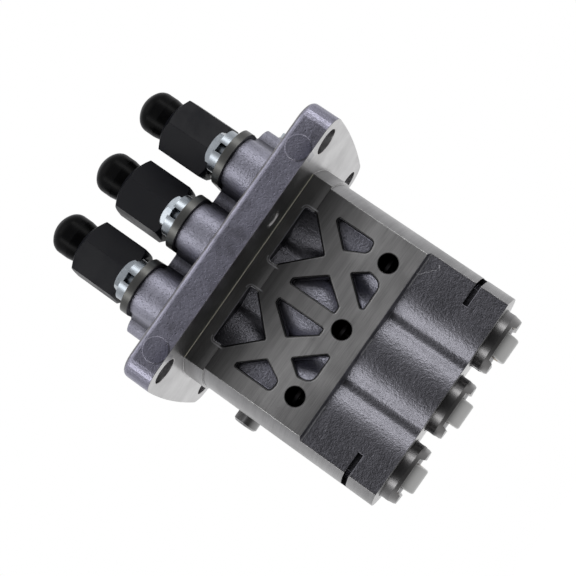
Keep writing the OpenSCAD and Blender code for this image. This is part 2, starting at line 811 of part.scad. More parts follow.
// Part of a tooth by which the rack's nearest space lies to one side of an element at rest
function sleeve_phase(k) = let (steps = columns[k - 1] / rack_pitch) round(steps) - steps;

// Round rack with teeth cut along its front, a stop groove and a chamfered end
module control_rack() {
    length = 2 * pitch + rack_left + rack_right;
    root_w = rack_pitch / 2 - backlash;
    meshed = sqrt(pow(pinion_tip, 2) - pow(pinion_r - gear_module, 2));
    last = ceil((pitch + rack_travel + meshed) / rack_pitch - 0.5);
    color("silver") translate([row_offset, rack_y, -rack_z]) difference() {
        translate([-pitch - rack_left, 0, 0]) rotate([0, 90, 0]) {
            cylinder(r1 = rack_r - rack_chamfer, r2 = rack_r, h = rack_chamfer);
            translate([0, 0, rack_chamfer]) cylinder(r = rack_r, h = length - rack_chamfer);
        }
        for (i = [-last : last]) translate([i * rack_pitch, 0, -rack_d])
            linear_extrude(2 * rack_d) polygon([
                [-root_w / 2 - 0.75 * gear_module - 0.02, -rack_r - 0.55 * gear_module],
                [root_w / 2 + 0.75 * gear_module + 0.02, -rack_r - 0.55 * gear_module],
                [root_w / 2 - 0.05, -rack_r + 2.25 * gear_module],
                [-root_w / 2 + 0.05, -rack_r + 2.25 * gear_module]]);
        translate([guide_screw_x - rack_travel - guide_screw_r - 0.2, rack_r - 2, -guide_screw_r - slack])
            cube([2 * rack_travel + 2 * guide_screw_r + 0.4, rack_r, 2 * guide_screw_r + 2 * slack]);
    }
}

module rack_guide_screw() {
    wall_y = rack_y + rack_r + 3.8;
    color("gainsboro") translate([row_offset + guide_screw_x, 0, -rack_z]) rotate([-90, 0, 0]) {
        translate([0, 0, rack_y + rack_r - 1.7])
            cylinder(r = guide_screw_r, h = wall_y - rack_y - rack_r + 1.7);
        translate([0, 0, wall_y]) difference() {
            cylinder(d = 8 / cos(30), h = 4, $fn = 6);
            translate([-5, -0.5, 3]) cube([10, 1, 2]);
        }
    }
}

// Plunger: helix and groove at the top, vane for the sleeve, foot in the lower seat
module plunger(k) {
    top = 6;
    r = plunger_d / 2 - running;
    foot_bottom = tappet_floor;
    color("silver") at_column(k) {
        difference() {
            translate([0, 0, -foot_bottom + foot_t + neck_h])
                cylinder(r = r, h = top + foot_bottom - foot_t - neck_h);
            translate([0, 0, top - 5]) rotate([35, 0, 0]) translate([r - 1, -r, -2])
                cube([r, plunger_d, 3]);
            translate([r - 1, -0.5, top - 6]) cube([r, 1, 6 + through]);
        }
        translate([-vane_r, -vane_w / 2, -vane_bottom]) cube([2 * vane_r, vane_w, vane_h]);
        translate([0, 0, -foot_bottom]) cylinder(r = neck_r, h = foot_t + neck_h + through);
        translate([0, 0, -foot_bottom]) cylinder(r = foot_r, h = foot_t);
    }
}

module upper_spring_seats() {
    color("gray") at_columns()
        ring(tappet_r - 0.1, plunger_d / 2 + 1.5, -spring_top, seat_ring_t);
}

module plunger_spring(k) {
    color("slategray") at_column(k) translate([0, 0, -spring_bottom])
        coil(spring_wire, spring_d / 2, spring_bottom - spring_top, spring_turns, 16, 8);
}

// Lower seat: disc with a keyhole that the plunger's neck slides into
module lower_spring_seat(k) {
    color("gray") at_column(k) difference() {
        translate([0, 0, -tappet_floor]) cylinder(r = lower_seat_r, h = lower_seat_t);
        translate([0, 0, -tappet_floor - through])
            cylinder(r = foot_r + 0.2, h = foot_t + 0.1 + through);
        translate([0, 0, -tappet_floor]) cylinder(r = neck_r + 0.3, h = lower_seat_t + through);
        translate([0, -neck_r - 0.3, -tappet_floor - through])
            cube([lower_seat_r + through, 2 * neck_r + 0.6, lower_seat_t + 2 * through]);
        translate([0, -foot_r - 0.2, -tappet_floor - through])
            cube([lower_seat_r + through, 2 * foot_r + 0.4, foot_t + 0.1 + through]);
    }
}

// Tappet: cup for the spring seat above, pocket and fork for the roller below
module tappet(k) {
    rim = 3.2;
    pocket_y = roller_r + 0.6;
    pocket_top = roller_z - roller_r - 1;
    color("darkslategray") at_column(k) difference() {
        union() {
            translate([0, 0, -tappet_bottom])
                cylinder(r1 = tappet_r - 1.1, r2 = tappet_r, h = rim);
            translate([0, 0, -tappet_bottom + rim]) cylinder(r = tappet_r, h = tappet_l - rim);
        }
        translate([0, 0, -tappet_floor])
            cylinder(r = lower_seat_r + 0.2, h = tappet_floor - tappet_top + through);
        translate([-roller_w / 2 - roller_gap, -pocket_y, -tappet_bottom - through])
            cube([roller_w + 2 * roller_gap, 2 * pocket_y, tappet_bottom - pocket_top + through]);
        translate([0, tappet_r + through, -tappet_bottom]) rotate([90, 0, 0])
            linear_extrude(tappet_d + 2 * through) polygon([
                [-fork_w / 2 - 1, -through], [fork_w / 2 + 1, -through],
                [fork_w / 2, fork_depth], [-fork_w / 2, fork_depth]]);
        translate([-tappet_r - through, 0, -roller_z]) rotate([0, 90, 0])
            cylinder(r = roller_pin_r + 0.01, h = tappet_d + 2 * through);
        translate([-guide_pin_r - slack, tappet_r - guide_groove_depth,
            -guide_pin_z - tappet_lift - guide_pin_r - 1])
            cube([2 * guide_pin_r + 2 * slack, tappet_r, tappet_lift + 2 * guide_pin_r + 1.5]);
    }
}

module roller_pin(k) {
    color("silver") at_column(k) translate([-roller_pin_l / 2, 0, -roller_z]) rotate([0, 90, 0])
        cylinder(r = roller_pin_r, h = roller_pin_l);
}

module roller_bush(k) {
    color("peru") at_column(k) translate([-roller_w / 2, 0, -roller_z]) rotate([0, 90, 0])
        ring(bush_r, roller_pin_r + running, 0, roller_w);
}

// Roller with rounded rims
module roller(k) {
    color("lightgray") at_column(k) translate([0, 0, -roller_z]) rotate([0, 90, 0])
        rotate_extrude() translate([0, -roller_w / 2]) difference() {
            union() {
                translate([bush_r + running, 0])
                    square([roller_r - bush_r - running - roller_edge, roller_w]);
                translate([bush_r + running, roller_edge])
                    square([roller_r - bush_r - running, roller_w - 2 * roller_edge]);
                for (y = [roller_edge, roller_w - roller_edge])
                    translate([roller_r - roller_edge, y]) circle(r = roller_edge, $fn = 24);
            }
        }
}

module tappet_guide_pins() {
    inner = tappet_r - guide_groove_depth + 0.3;
    color("silver") at_columns() translate([0, inner, -guide_pin_z]) rotate([-90, 0, 0])
        cylinder(r = guide_pin_r, h = cast_flat - inner);
}

module gallery_plug_washer() {
    face = row_offset + pitch + head_end;
    color("peru") translate([face, 0, gallery_z]) rotate([0, 90, 0])
        ring(port_d / 2 + 1.8, port_d / 2 + 0.1, 0, 1);
}

// Screwed plug with a socket head that closes the fuel gallery
module gallery_plug() {
    face = row_offset + pitch + head_end + 1;
    color("gainsboro") translate([face, 0, gallery_z]) rotate([0, 90, 0]) difference() {
        union() {
            cylinder(r = port_d / 2 + 1.5, h = 2.2);
            translate([0, 0, -port_depth]) cylinder(d = port_d - 2 * running, h = port_depth);
        }
        translate([0, 0, 2.2 - plug_socket_depth])
            cylinder(d = plug_socket_af / cos(30), h = plug_socket_depth + through, $fn = 6);
    }
}

pump_body();
barrel(1);  // barrel_1
barrel(2);  // barrel_2
barrel(3);  // barrel_3
barrel_o_rings();
barrel_screws();
notched_rings();
valve_seat(1);  // valve_seat_1
valve_seat(2);  // valve_seat_2
valve_seat(3);  // valve_seat_3
valve_gaskets();
delivery_valve(1);  // delivery_valve_1
delivery_valve(2);  // delivery_valve_2
delivery_valve(3);  // delivery_valve_3
valve_spring(1);  // valve_spring_1
valve_spring(2);  // valve_spring_2
valve_spring(3);  // valve_spring_3
delivery_holder(1);  // delivery_holder_1
delivery_holder(2);  // delivery_holder_2
delivery_holder(3);  // delivery_holder_3
outlet_cap(1);  // outlet_cap_1
outlet_cap(2);  // outlet_cap_2
outlet_cap(3);  // outlet_cap_3
control_sleeve(1);  // control_sleeve_1
control_sleeve(2);  // control_sleeve_2
control_sleeve(3);  // control_sleeve_3
control_rack();
rack_guide_screw();
plunger(1);  // plunger_1
plunger(2);  // plunger_2
plunger(3);  // plunger_3
upper_spring_seats();
plunger_spring(1);  // plunger_spring_1
plunger_spring(2);  // plunger_spring_2
plunger_spring(3);  // plunger_spring_3
lower_spring_seat(1);  // lower_spring_seat_1
lower_spring_seat(2);  // lower_spring_seat_2
lower_spring_seat(3);  // lower_spring_seat_3
tappet(1);  // tappet_1
tappet(2);  // tappet_2
tappet(3);  // tappet_3
roller_pin(1);  // roller_pin_1
roller_pin(2);  // roller_pin_2
roller_pin(3);  // roller_pin_3
roller_bush(1);  // roller_bush_1
roller_bush(2);  // roller_bush_2
roller_bush(3);  // roller_bush_3
roller(1);  // roller_1
roller(2);  // roller_2
roller(3);  // roller_3
tappet_guide_pins();
gallery_plug();
gallery_plug_washer();
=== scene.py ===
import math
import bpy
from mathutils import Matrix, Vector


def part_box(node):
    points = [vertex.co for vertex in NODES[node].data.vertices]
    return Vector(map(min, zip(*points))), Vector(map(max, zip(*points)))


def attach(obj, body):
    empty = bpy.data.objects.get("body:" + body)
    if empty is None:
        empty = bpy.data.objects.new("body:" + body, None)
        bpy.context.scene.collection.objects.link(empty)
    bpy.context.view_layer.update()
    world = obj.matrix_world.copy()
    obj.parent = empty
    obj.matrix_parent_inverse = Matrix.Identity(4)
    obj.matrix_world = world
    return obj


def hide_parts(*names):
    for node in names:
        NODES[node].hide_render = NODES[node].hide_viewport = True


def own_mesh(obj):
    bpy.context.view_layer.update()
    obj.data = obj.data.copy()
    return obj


bl_info = {
    "name": "Injection Pump Finishes",
    "version": (1, 0, 0),
    "blender": (4, 5, 0),
    "location": "3D View > Sidebar > Pump",
    "description": "Finishes, wound springs and studio for a three-element injection pump",
    "category": "Object",
}

import bpy
from mathutils import Matrix, Vector

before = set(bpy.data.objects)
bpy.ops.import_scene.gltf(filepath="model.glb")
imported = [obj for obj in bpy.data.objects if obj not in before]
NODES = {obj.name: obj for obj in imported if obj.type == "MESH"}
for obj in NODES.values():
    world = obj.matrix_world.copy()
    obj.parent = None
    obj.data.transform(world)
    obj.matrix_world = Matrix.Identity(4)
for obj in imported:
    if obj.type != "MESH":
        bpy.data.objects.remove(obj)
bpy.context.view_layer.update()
COLUMNS = (1, 2, 3)
MM = 0.001


def column_x(k):
    """Where element k stands along the row."""
    low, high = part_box(f"outlet_cap_{k}")
    return (low.x + high.x) / 2


ROW_X = column_x(2)
HALF_PITCH = abs(ROW_X - column_x(1)) / 2

# Places on the casting. X is from the middle element, but from the flange's middle for the
# bolt holes, and Z is from the flange's underside. The front looks towards -Y.
FLANGE_END = 12.5 * MM
FLANGE_FRONT = -40 * MM
BROW = (11.0 * MM, 11.6 * MM)
HEAD_START = 14 * MM
HEAD_SIDE = 45 * MM
VALLEY_EDGE = (9.5 * MM, 12 * MM)
VALLEY_MIDDLE = 13.2 * MM
BAND_FOOT = -8.75 * MM
PILOT_FOOT = -8.7 * MM
PAD_FACE = -23.9 * MM
PAD_DEPTHS = (-30 * MM, -23.7 * MM)
PAD_FOOT = -54.4 * MM
PAD_SIDE = 42 * MM
BURR_Z = -53.8 * MM
LOW_FACE = -21.6 * MM
LOW_FRONT = -20 * MM
LOW_CORNER = (41 * MM, -19 * MM, -53.6 * MM)
BODY_FOOT = -87.5 * MM
TURNED_RADII = (47.3 * MM, 48.8 * MM)
POCKET_SIDE = 39 * MM
POCKET_FOOT = -53 * MM
POCKET_DEPTHS = (-16.5 * MM, 7.2 * MM)
RIM_FOOT = -52 * MM
RIM_DEPTHS = (-23.6 * MM, 0.49 * MM)
LIP_MIDDLE = 18.2 * MM
LIP_START = 10.8 * MM
LIP_CORNER = (11.1 * MM, -5.9 * MM)
LIP_RADIUS = 2.0 * MM
LIP_HEIGHTS = (-10.4 * MM, -8.6 * MM)
LIP_FRONT = -22.6 * MM
WINDOW_Z = -42.8 * MM
WINDOW_EDGE = 3.9 * MM
WINDOW_BLUR = 0.35 * MM
WINDOW_BACK = -12 * MM
GROOVE_Z = -74.5 * MM
GROOVE_HALF_HEIGHT = 1.2 * MM
GROOVE_SIDE = 33 * MM
GROOVE_BACK = 1 * MM
SKIN_FRONT = -21.5 * MM
SKIN_RADIUS = 47.45 * MM
BOLT_HOLE = (51.4 * MM, 36.8 * MM)
BOLT_HOLE_EDGE = 5.6 * MM
DOWEL_HOLE = (18.8 * MM, -35.3 * MM)
DOWEL_HOLE_EDGE = 4.3 * MM
CAST_MARK = (44.5 * MM, 4.9 * MM)
CAST_MARK_EDGE = 5.2 * MM

# Start in X and Z, length and turn in degrees of the two lines of broken flash
FLASH_SCARS = ((31.0 * MM, -53.4 * MM, 7.6 * MM, -45), (36.8 * MM, -59.6 * MM, 2.2 * MM, 35))

WIRE_SIDES = 14
STEPS_PER_TURN = 36

BLACK = (0.0, 0.0, 0.0, 1.0)
WHITE = (1.0, 1.0, 1.0, 1.0)

# Camera of the photograph, in metres
CAMERA_PLACE = Vector((-0.01235, -0.51818, -0.11452))
CAMERA_RIGHT = Vector((0.5746, 0.1448, -0.8055))
CAMERA_AHEAD = Vector((0.0237, 0.9809, 0.1932))

FLOOR_Z = -0.32
FLOOR_RADIUS = 3.0
STRIP_SIZE = (0.28, 0.9)
STRIP_SIDE = 0.75
TOP_LAMP_SIZE = (0.6, 0.35)

# Brightness of the room round the horizon: part of the half turn from the front, and level
ROOM_LEVELS = ((0.1, 0.036), (0.17, 0.07), (0.23, 0.35), (0.28, 0.86), (0.37, 0.86), (0.44, 0.42),
               (0.52, 0.36), (0.7, 0.8))


# Settings shown in the sidebar


class PumpFinishSettings(bpy.types.PropertyGroup):
    cast_colour: bpy.props.FloatVectorProperty(
        name="Cast iron",
        description="Colour of the blasted casting",
        subtype="COLOR",
        size=3,
        min=0,
        max=1,
        default=(0.33, 0.327, 0.366),
    )
    machined_colour: bpy.props.FloatVectorProperty(
        name="Machined iron",
        description="Colour of the milled pad, the turned body and the flange's underside",
        subtype="COLOR",
        size=3,
        min=0,
        max=1,
        default=(0.53, 0.525, 0.53),
    )
    grain_size: bpy.props.FloatProperty(
        name="Cast grain",
        description="Size of the sand grain on the casting",
        subtype="DISTANCE",
        unit="LENGTH",
        min=0.0001,
        max=0.002,
        default=0.0005,
    )
    zinc_colour: bpy.props.FloatVectorProperty(
        name="Zinc",
        description="Colour of the plated screws and rings",
        subtype="COLOR",
        size=3,
        min=0,
        max=1,
        default=(0.46, 0.5, 0.535),
    )
    oxide_colour: bpy.props.FloatVectorProperty(
        name="Black oxide",
        description="Colour of the blackened valve holders",
        subtype="COLOR",
        size=3,
        min=0,
        max=1,
        default=(0.0036, 0.004, 0.0072),
    )
    rubber_colour: bpy.props.FloatVectorProperty(
        name="Cap rubber",
        description="Colour of the protective caps",
        subtype="COLOR",
        size=3,
        min=0,
        max=1,
        default=(0.002, 0.002, 0.0022),
    )


class PumpSpringSettings(bpy.types.PropertyGroup):
    plunger_wire: bpy.props.FloatProperty(
        name="Plunger spring wire",
        description="Thickness of the plunger springs' wire",
        subtype="DISTANCE",
        unit="LENGTH",
        min=0.001,
        max=0.004,
        default=0.0026,
    )
    plunger_turns: bpy.props.FloatProperty(
        name="Plunger spring turns",
        description="How often the wire of a plunger spring goes round",
        min=2,
        max=10,
        default=4.5,
    )
    valve_wire: bpy.props.FloatProperty(
        name="Valve spring wire",
        description="Thickness of the valve springs' wire",
        subtype="DISTANCE",
        unit="LENGTH",
        min=0.0004,
        max=0.0015,
        default=0.0009,
    )
    valve_turns: bpy.props.FloatProperty(
        name="Valve spring turns",
        description="How often the wire of a valve spring goes round",
        min=2,
        max=12,
        default=6,
    )


class PumpStudioSettings(bpy.types.PropertyGroup):
    lens: bpy.props.FloatProperty(
        name="Lens",
        description="Focal length on a 36 mm sensor",
        subtype="DISTANCE_CAMERA",
        min=20,
        max=200,
        default=84.43,
    )
    strip_power: bpy.props.FloatProperty(
        name="Strip lamps",
        description="Power of the two upright strip lamps beside the camera",
        subtype="POWER",
        min=0,
        max=20,
        default=1.5,
    )
    top_power: bpy.props.FloatProperty(
        name="Top lamp",
        description="Power of the soft lamp above the outlets",
        subtype="POWER",
        min=0,
        max=20,
        default=0.45,
    )
    ambient: bpy.props.FloatProperty(
        name="Ambient",
        description="Strength of the room on matt surfaces",
        subtype="FACTOR",
        min=0,
        max=2,
        default=0.45,
    )


# Helpers that build shader nodes


class Graph:
    """Adds nodes to one tree and wires them as it goes."""

    def __init__(self, tree):
        self.tree = tree

    def add(self, kind, **settings):
        node = self.tree.nodes.new(kind)
        for key, value in settings.items():
            if key == "inputs":
                for socket, given in value.items():
                    self.feed(given, node.inputs[socket])
            else:
                setattr(node, key, value)
        return node

    def feed(self, given, socket):
        """Links an output to the socket, or sets a value; None leaves the socket alone."""
        if isinstance(given, bpy.types.NodeSocket):
            self.tree.links.new(given, socket)
        elif given is not None:
            socket.default_value = given

    def math(self, operation, a, b=None):
        node = self.add("ShaderNodeMath", operation=operation)
        self.feed(a, node.inputs[0])
        self.feed(b, node.inputs[1])
        return node.outputs[0]

    def vector(self, operation, a, b=None, out="Vector"):
        node = self.add("ShaderNodeVectorMath", operation=operation)
        self.feed(a, node.inputs[0])
        self.feed(b, node.inputs[1])
        return node.outputs[out]

    def mix(self, factor, a, b):
        node = self.add("ShaderNodeMix", data_type="FLOAT")
        self.feed(factor, node.inputs[0])
        self.feed(a, node.inputs[2])
        self.feed(b, node.inputs[3])
        return node.outputs[0]

    def mix_colour(self, factor, a, b, blend="MIX"):
        node = self.add("ShaderNodeMix", data_type="RGBA", blend_type=blend)
        self.feed(factor, node.inputs[0])
        self.feed(a, node.inputs[6])
        self.feed(b, node.inputs[7])
        return node.outputs[2]

    def mix_shader(self, factor, a, b):
        node = self.add("ShaderNodeMixShader")
        self.feed(factor, node.inputs[0])
        self.feed(a, node.inputs[1])
        self.feed(b, node.inputs[2])
        return node.outputs[0]

    def steps(self, value, low, high):
        """Smooth 0 to 1 while value goes from low to high."""
        node = self.add("ShaderNodeMapRange", interpolation_type="SMOOTHSTEP")
        self.feed(value, node.inputs[0])
        self.feed(low, node.inputs[1])
        self.feed(high, node.inputs[2])
        return node.outputs[0]

    def plus(self, a, b):
        return self.math("ADD", a, b)

    def minus(self, a, b):
        return self.math("SUBTRACT", a, b)

    def times(self, a, b):
        return self.math("MULTIPLY", a, b)

    def absolute(self, value):
        return self.math("ABSOLUTE", value)

    def below(self, value, limit):
        return self.math("LESS_THAN", value, limit)

    def above(self, value, limit):
        return self.math("GREATER_THAN", value, limit)

    def near(self, value, target, reach):
        """1 where value is within reach of target."""
        return self.below(self.absolute(self.minus(value, target)), reach)

    def all_of(self, first, *others):
        """1 where every mask is 1."""
        for mask in others:
            first = self.times(first, mask)
        return first

    def any_of(self, first, *others):
        """1 where at least one mask is 1."""
        for mask in others:
            first = self.math("MAXIMUM", first, mask)
        return first

    def join(self, x, y, z=0.0):
        """Vector made of three numbers."""
        return self.add("ShaderNodeCombineXYZ", inputs={"X": x, "Y": y, "Z": z}).outputs[0]

    def split(self, vector):
        """The numbers X, Y and Z of a vector."""
        return self.add("ShaderNodeSeparateXYZ", inputs={"Vector": vector}).outputs

    def distance(self, x, y):
        """Length of the line from 0, 0 to x, y."""
        return self.vector("LENGTH", self.join(x, y), out="Value")

    def tint(self, colour, mask, amount, shade):
        """The colour, mixed with a shade by an amount where the mask is 1."""
        return self.mix_colour(self.times(mask, amount), colour, shade)

    def openness(self, reach, normal=None):
        """1 in the open, towards 0 where other faces stand within reach."""
        given = {"Distance": reach, "Normal": normal}
        return self.add("ShaderNodeAmbientOcclusion", samples=6, inputs=given).outputs["AO"]

    def noise(self, vector, scale, detail=2.0, roughness=0.5):
        return self.add(
            "ShaderNodeTexNoise",
            inputs={"Vector": vector, "Scale": scale, "Detail": detail, "Roughness": roughness},
        ).outputs["Fac"]


def scaled(colour, *factors):
    """Opaque colour, its channels multiplied by one factor or by one each."""
    if len(factors) == 1:
        factors *= 3
    return (*(part * factor for part, factor in zip(colour, factors)), 1.0)


def effect_group(name, inputs, outputs):
    """Empty shader group with named number inputs, and outputs of the kinds given."""
    group = bpy.data.node_groups.new(name, "ShaderNodeTree")
    for label, default in inputs:
        socket = group.interface.new_socket(label, in_out="INPUT", socket_type="NodeSocketFloat")
        socket.default_value = default
    for label, kind in outputs:
        group.interface.new_socket(label, in_out="OUTPUT", socket_type=kind)
    graph = Graph(group)
    return group, graph, graph.add("NodeGroupInput"), graph.add("NodeGroupOutput")


def cast_grain_group():
    """Blasted sand skin: sharp fine grain with small pits and slow mottling."""
    name = "Cast Grain"
    if name in bpy.data.node_groups:
        return bpy.data.node_groups[name]
    group, g, given, result = effect_group(
        name,
        [("Grain", 0.5 * MM), ("Pits", 0.5)],
        [("Height", "NodeSocketFloat"), ("Tone", "NodeSocketFloat")],
    )
    place = g.add("ShaderNodeTexCoord").outputs["Object"]
    frequency = g.math("DIVIDE", 1.0, given.outputs["Grain"])
    fine = g.noise(place, frequency, 1.0, 0.5)
    lumps = g.noise(place, g.times(frequency, 0.45), 1.0, 0.5)
    crust = g.noise(place, g.times(frequency, 0.12), 2.0, 0.55)
    pits = g.steps(g.noise(place, g.times(frequency, 0.8), 0.0), 0.68, 0.74)
    pits = g.times(pits, given.outputs["Pits"])
    height = g.plus(g.times(fine, 0.5), g.times(lumps, 0.6))
    height = g.plus(height, g.times(crust, 0.5))
    height = g.minus(height, g.times(pits, 0.4))
    slow = g.noise(place, 60.0, 3.0, 0.6)
    tone = g.plus(g.times(slow, 0.45), g.times(fine, 0.3))
    tone = g.plus(tone, g.times(lumps, 0.25))
    tone = g.minus(tone, pits)
    g.feed(height, result.inputs["Height"])
    g.feed(tone, result.inputs["Tone"])
    return group


def tool_marks_group():
    """Fine parallel marks that a mill or lathe leaves, all lying level in Z."""
    name = "Tool Marks"
    if name in bpy.data.node_groups:
        return bpy.data.node_groups[name]
    group, g, given, result = effect_group(
        name,
        [("Spacing", 0.25 * MM)],
        [("Height", "NodeSocketFloat"), ("Tone", "NodeSocketFloat")],
    )
    place = g.add("ShaderNodeTexCoord").outputs["Object"]
    frequency = g.math("DIVIDE", 1.0, given.outputs["Spacing"])
    marks = g.noise(g.vector("MULTIPLY", place, g.join(85.0, 85.0, frequency)), 1.0, 3.0, 0.7)
    bands = g.noise(g.vector("MULTIPLY", place, g.join(14.0, 14.0, 420.0)), 1.0, 2.0, 0.5)
    g.feed(g.plus(g.times(marks, 0.7), g.times(bands, 0.3)), result.inputs["Height"])
    g.feed(g.plus(g.times(marks, 0.6), g.times(bands, 0.4)), result.inputs["Tone"])
    return group


def handling_group():
    """Faint smears and oil film, as a slow mask."""
    name = "Handling"
    if name in bpy.data.node_groups:
        return bpy.data.node_groups[name]
    group, g, given, result = effect_group(
        name, [("Size", 20 * MM)], [("Mask", "NodeSocketFloat")]
    )
    place = g.add("ShaderNodeTexCoord").outputs["Object"]
    frequency = g.math("DIVIDE", 1.0, given.outputs["Size"])
    smear = g.noise(place, frequency, 4.0, 0.6)
    g.feed(g.steps(smear, 0.38, 0.66), result.inputs["Mask"])
    return group


def place_group(g, group, **values):
    """Puts a shared group in a tree, sets its inputs by name and returns its outputs."""
    node = g.add("ShaderNodeGroup")
    node.node_tree = group
    for label, value in values.items():
        g.feed(value, node.inputs[label])
    return node.outputs


def finish_material(name):
    """New material with a Principled shader; returns its graph and shader."""
    material = bpy.data.materials.new(name)
    material.use_nodes = True
    material.node_tree.nodes.clear()
    g = Graph(material.node_tree)
    shader = g.add("ShaderNodeBsdfPrincipled")
    out = g.add("ShaderNodeOutputMaterial")
    g.feed(shader.outputs["BSDF"], out.inputs["Surface"])
    return material, g, shader


def rounded_edges(g, radius):
    """Normal with every sharp edge softened to the given radius."""
    return g.add("ShaderNodeBevel", samples=6, inputs={"Radius": radius}).outputs["Normal"]


def edge_mask(g, soft_normal):
    """1 on sharp edges, 0 on open faces."""
    true_normal = g.add("ShaderNodeNewGeometry").outputs["True Normal"]
    agree = g.vector("DOT_PRODUCT", soft_normal, true_normal, "Value")
    return g.steps(g.minus(1.0, agree), 0.02, 0.22)


def bump(g, height, strength, distance, normal=None):
    """Normal that a height gives, on top of the surface's own normal or of another."""
    given = {"Strength": strength, "Distance": distance, "Height": height, "Normal": normal}
    return g.add("ShaderNodeBump", inputs=given).outputs["Normal"]


def dress(names, material):
    """Gives CAD nodes one finish."""
    for name in names:
        slots = NODES[name].material_slots
        for slot in slots:
            slot.material = material
        if not slots:
            NODES[name].data.materials.append(material)


# Finishes


class CastingMap:
    """Masks of the casting's features, from the place and the facing of each point."""

    def __init__(self, g):
        self.g = g
        self.place = g.add("ShaderNodeTexCoord").outputs["Object"]
        self.facing = g.split(g.add("ShaderNodeNewGeometry").outputs["True Normal"])
        at = g.split(self.place)
        self.x = g.minus(at["X"], ROW_X)
        self.y = at["Y"]
        self.z = at["Z"]
        self.sideways = g.absolute(self.x)
        self.radius = g.distance(self.x, self.y)
        self.from_column = g.math("PINGPONG", self.x, HALF_PITCH)
        self.head = g.steps(self.z, FLANGE_END, HEAD_START)
        self.flange = g.times(g.steps(self.z, -0.5 * MM, 0.5 * MM),
                              g.steps(self.z, HEAD_START, FLANGE_END))
        self.pockets = g.all_of(g.steps(self.z, -1 * MM, -3 * MM), g.above(self.z, POCKET_FOOT),
                                g.below(self.sideways, POCKET_SIDE), g.near(self.y, *POCKET_DEPTHS))
        below = g.below(self.z, 0.01 * MM)
        self.pad = g.all_of(below, g.below(self.facing["Y"], -0.9), g.above(self.z, PAD_FOOT),
                            g.below(self.y, PAD_DEPTHS[1]), g.above(self.y, PAD_DEPTHS[0]))
        upright = g.below(g.absolute(self.facing["Z"]), 0.3)
        self.turned = g.all_of(below, upright, g.above(self.radius, TURNED_RADII[0]),
                               g.below(self.radius, TURNED_RADII[1]))
        self.machined = g.any_of(self.pad, self.turned, self.underside(), self.hole_mouths(at["X"]))

    def underside(self):
        """The faces of the flange, the pilot and the body's foot that look down."""
        g = self.g
        level = g.any_of(*[g.near(self.z, z, 0.1 * MM) for z in (0, PILOT_FOOT, BODY_FOOT)])
        return g.times(g.below(self.facing["Z"], -0.9), level)

    def hole_mouths(self, x):
        """The drilled faces of the bolt holes and the dowel hole."""
        g = self.g
        bolt = g.distance(g.minus(g.absolute(x), BOLT_HOLE[0]), g.minus(g.absolute(self.y), BOLT_HOLE[1]))
        dowel = g.distance(g.minus(self.x, DOWEL_HOLE[0]), g.minus(self.y, DOWEL_HOLE[1]))
        return g.any_of(g.below(bolt, BOLT_HOLE_EDGE), g.below(dowel, DOWEL_HOLE_EDGE))

    def grooves(self):
        """The walls and floor of the two milled grooves, where they lie below the surface."""
        g = self.g
        outside = g.any_of(g.below(self.y, SKIN_FRONT), g.above(self.radius, SKIN_RADIUS))
        return g.all_of(g.near(self.z, GROOVE_Z, GROOVE_HALF_HEIGHT),
                        g.above(self.sideways, GROOVE_SIDE), g.below(self.y, GROOVE_BACK),
                        g.minus(1.0, outside))

    def windows(self):
        """The three inspection holes of the pad, with the edge round each."""
        g = self.g
        away = g.distance(self.from_column, g.minus(self.z, WINDOW_Z))
        return g.all_of(g.steps(away, WINDOW_EDGE + WINDOW_BLUR, WINDOW_EDGE),
                        g.below(self.y, WINDOW_BACK), g.below(self.sideways, PAD_SIDE))

    def valley_shade(self):
        """Painted shade on the head's walls between the screw bosses, darkest beside each boss."""
        g = self.g
        beside = g.steps(self.from_column, *VALLEY_EDGE)
        middle = g.mix(g.steps(self.from_column, VALLEY_MIDDLE, HALF_PITCH), 1.0, 0.4)
        return g.all_of(self.head, beside, middle, g.below(self.sideways, HEAD_SIDE))

    def pocket_rims(self):
        """The rounded rims of the pockets in the pad."""
        g = self.g
        return g.all_of(g.below(self.z, BAND_FOOT), g.above(self.z, RIM_FOOT),
                        g.below(self.sideways, POCKET_SIDE), g.near(self.y, *RIM_DEPTHS),
                        g.above(self.facing["Y"], -0.985))

    def painted_lip_highlights(self):
        """Painted highlights along the raised lip round the outer corners of the pad's two top pockets.
        """
        g = self.g
        from_middle = g.absolute(g.minus(self.sideways, LIP_MIDDLE))
        over_corner = g.math("MAXIMUM", g.minus(self.z, LIP_CORNER[1]), 0.0)
        away = g.distance(g.minus(from_middle, LIP_CORNER[0]), over_corner)
        ring = g.steps(g.absolute(g.minus(away, LIP_RADIUS)), 0.45 * MM, 0.1 * MM)
        return g.all_of(ring, g.steps(self.z, *LIP_HEIGHTS), g.above(from_middle, LIP_START),
                        g.below(self.y, LIP_FRONT))

    def cast_mark(self):
        """The two round marks on the flange's front, and a painted shade that darkens each more towards
        its foot.
        """
        g = self.g
        up = g.minus(self.z, CAST_MARK[1])
        away = g.distance(g.minus(self.sideways, CAST_MARK[0]), up)
        mark = g.all_of(self.flange, g.below(away, CAST_MARK_EDGE), g.below(self.y, FLANGE_FRONT))
        return mark, g.mix(g.steps(up, 1.5 * MM, -4.8 * MM), 0.12, 0.62)

    def low_corners(self):
        """The lower body's front corners beside the turned ends."""
        g = self.g
        side, front, top = LOW_CORNER
        return g.all_of(g.below(self.z, top), g.below(self.y, front), g.above(self.sideways, side))

    def front_line(self, z, half_width, y, depth):
        """A level line across the front, at a height and on one of its faces."""
        g = self.g
        return g.all_of(g.near(self.z, z, half_width), g.near(self.y, y, depth),
                        g.below(self.sideways, PAD_SIDE))

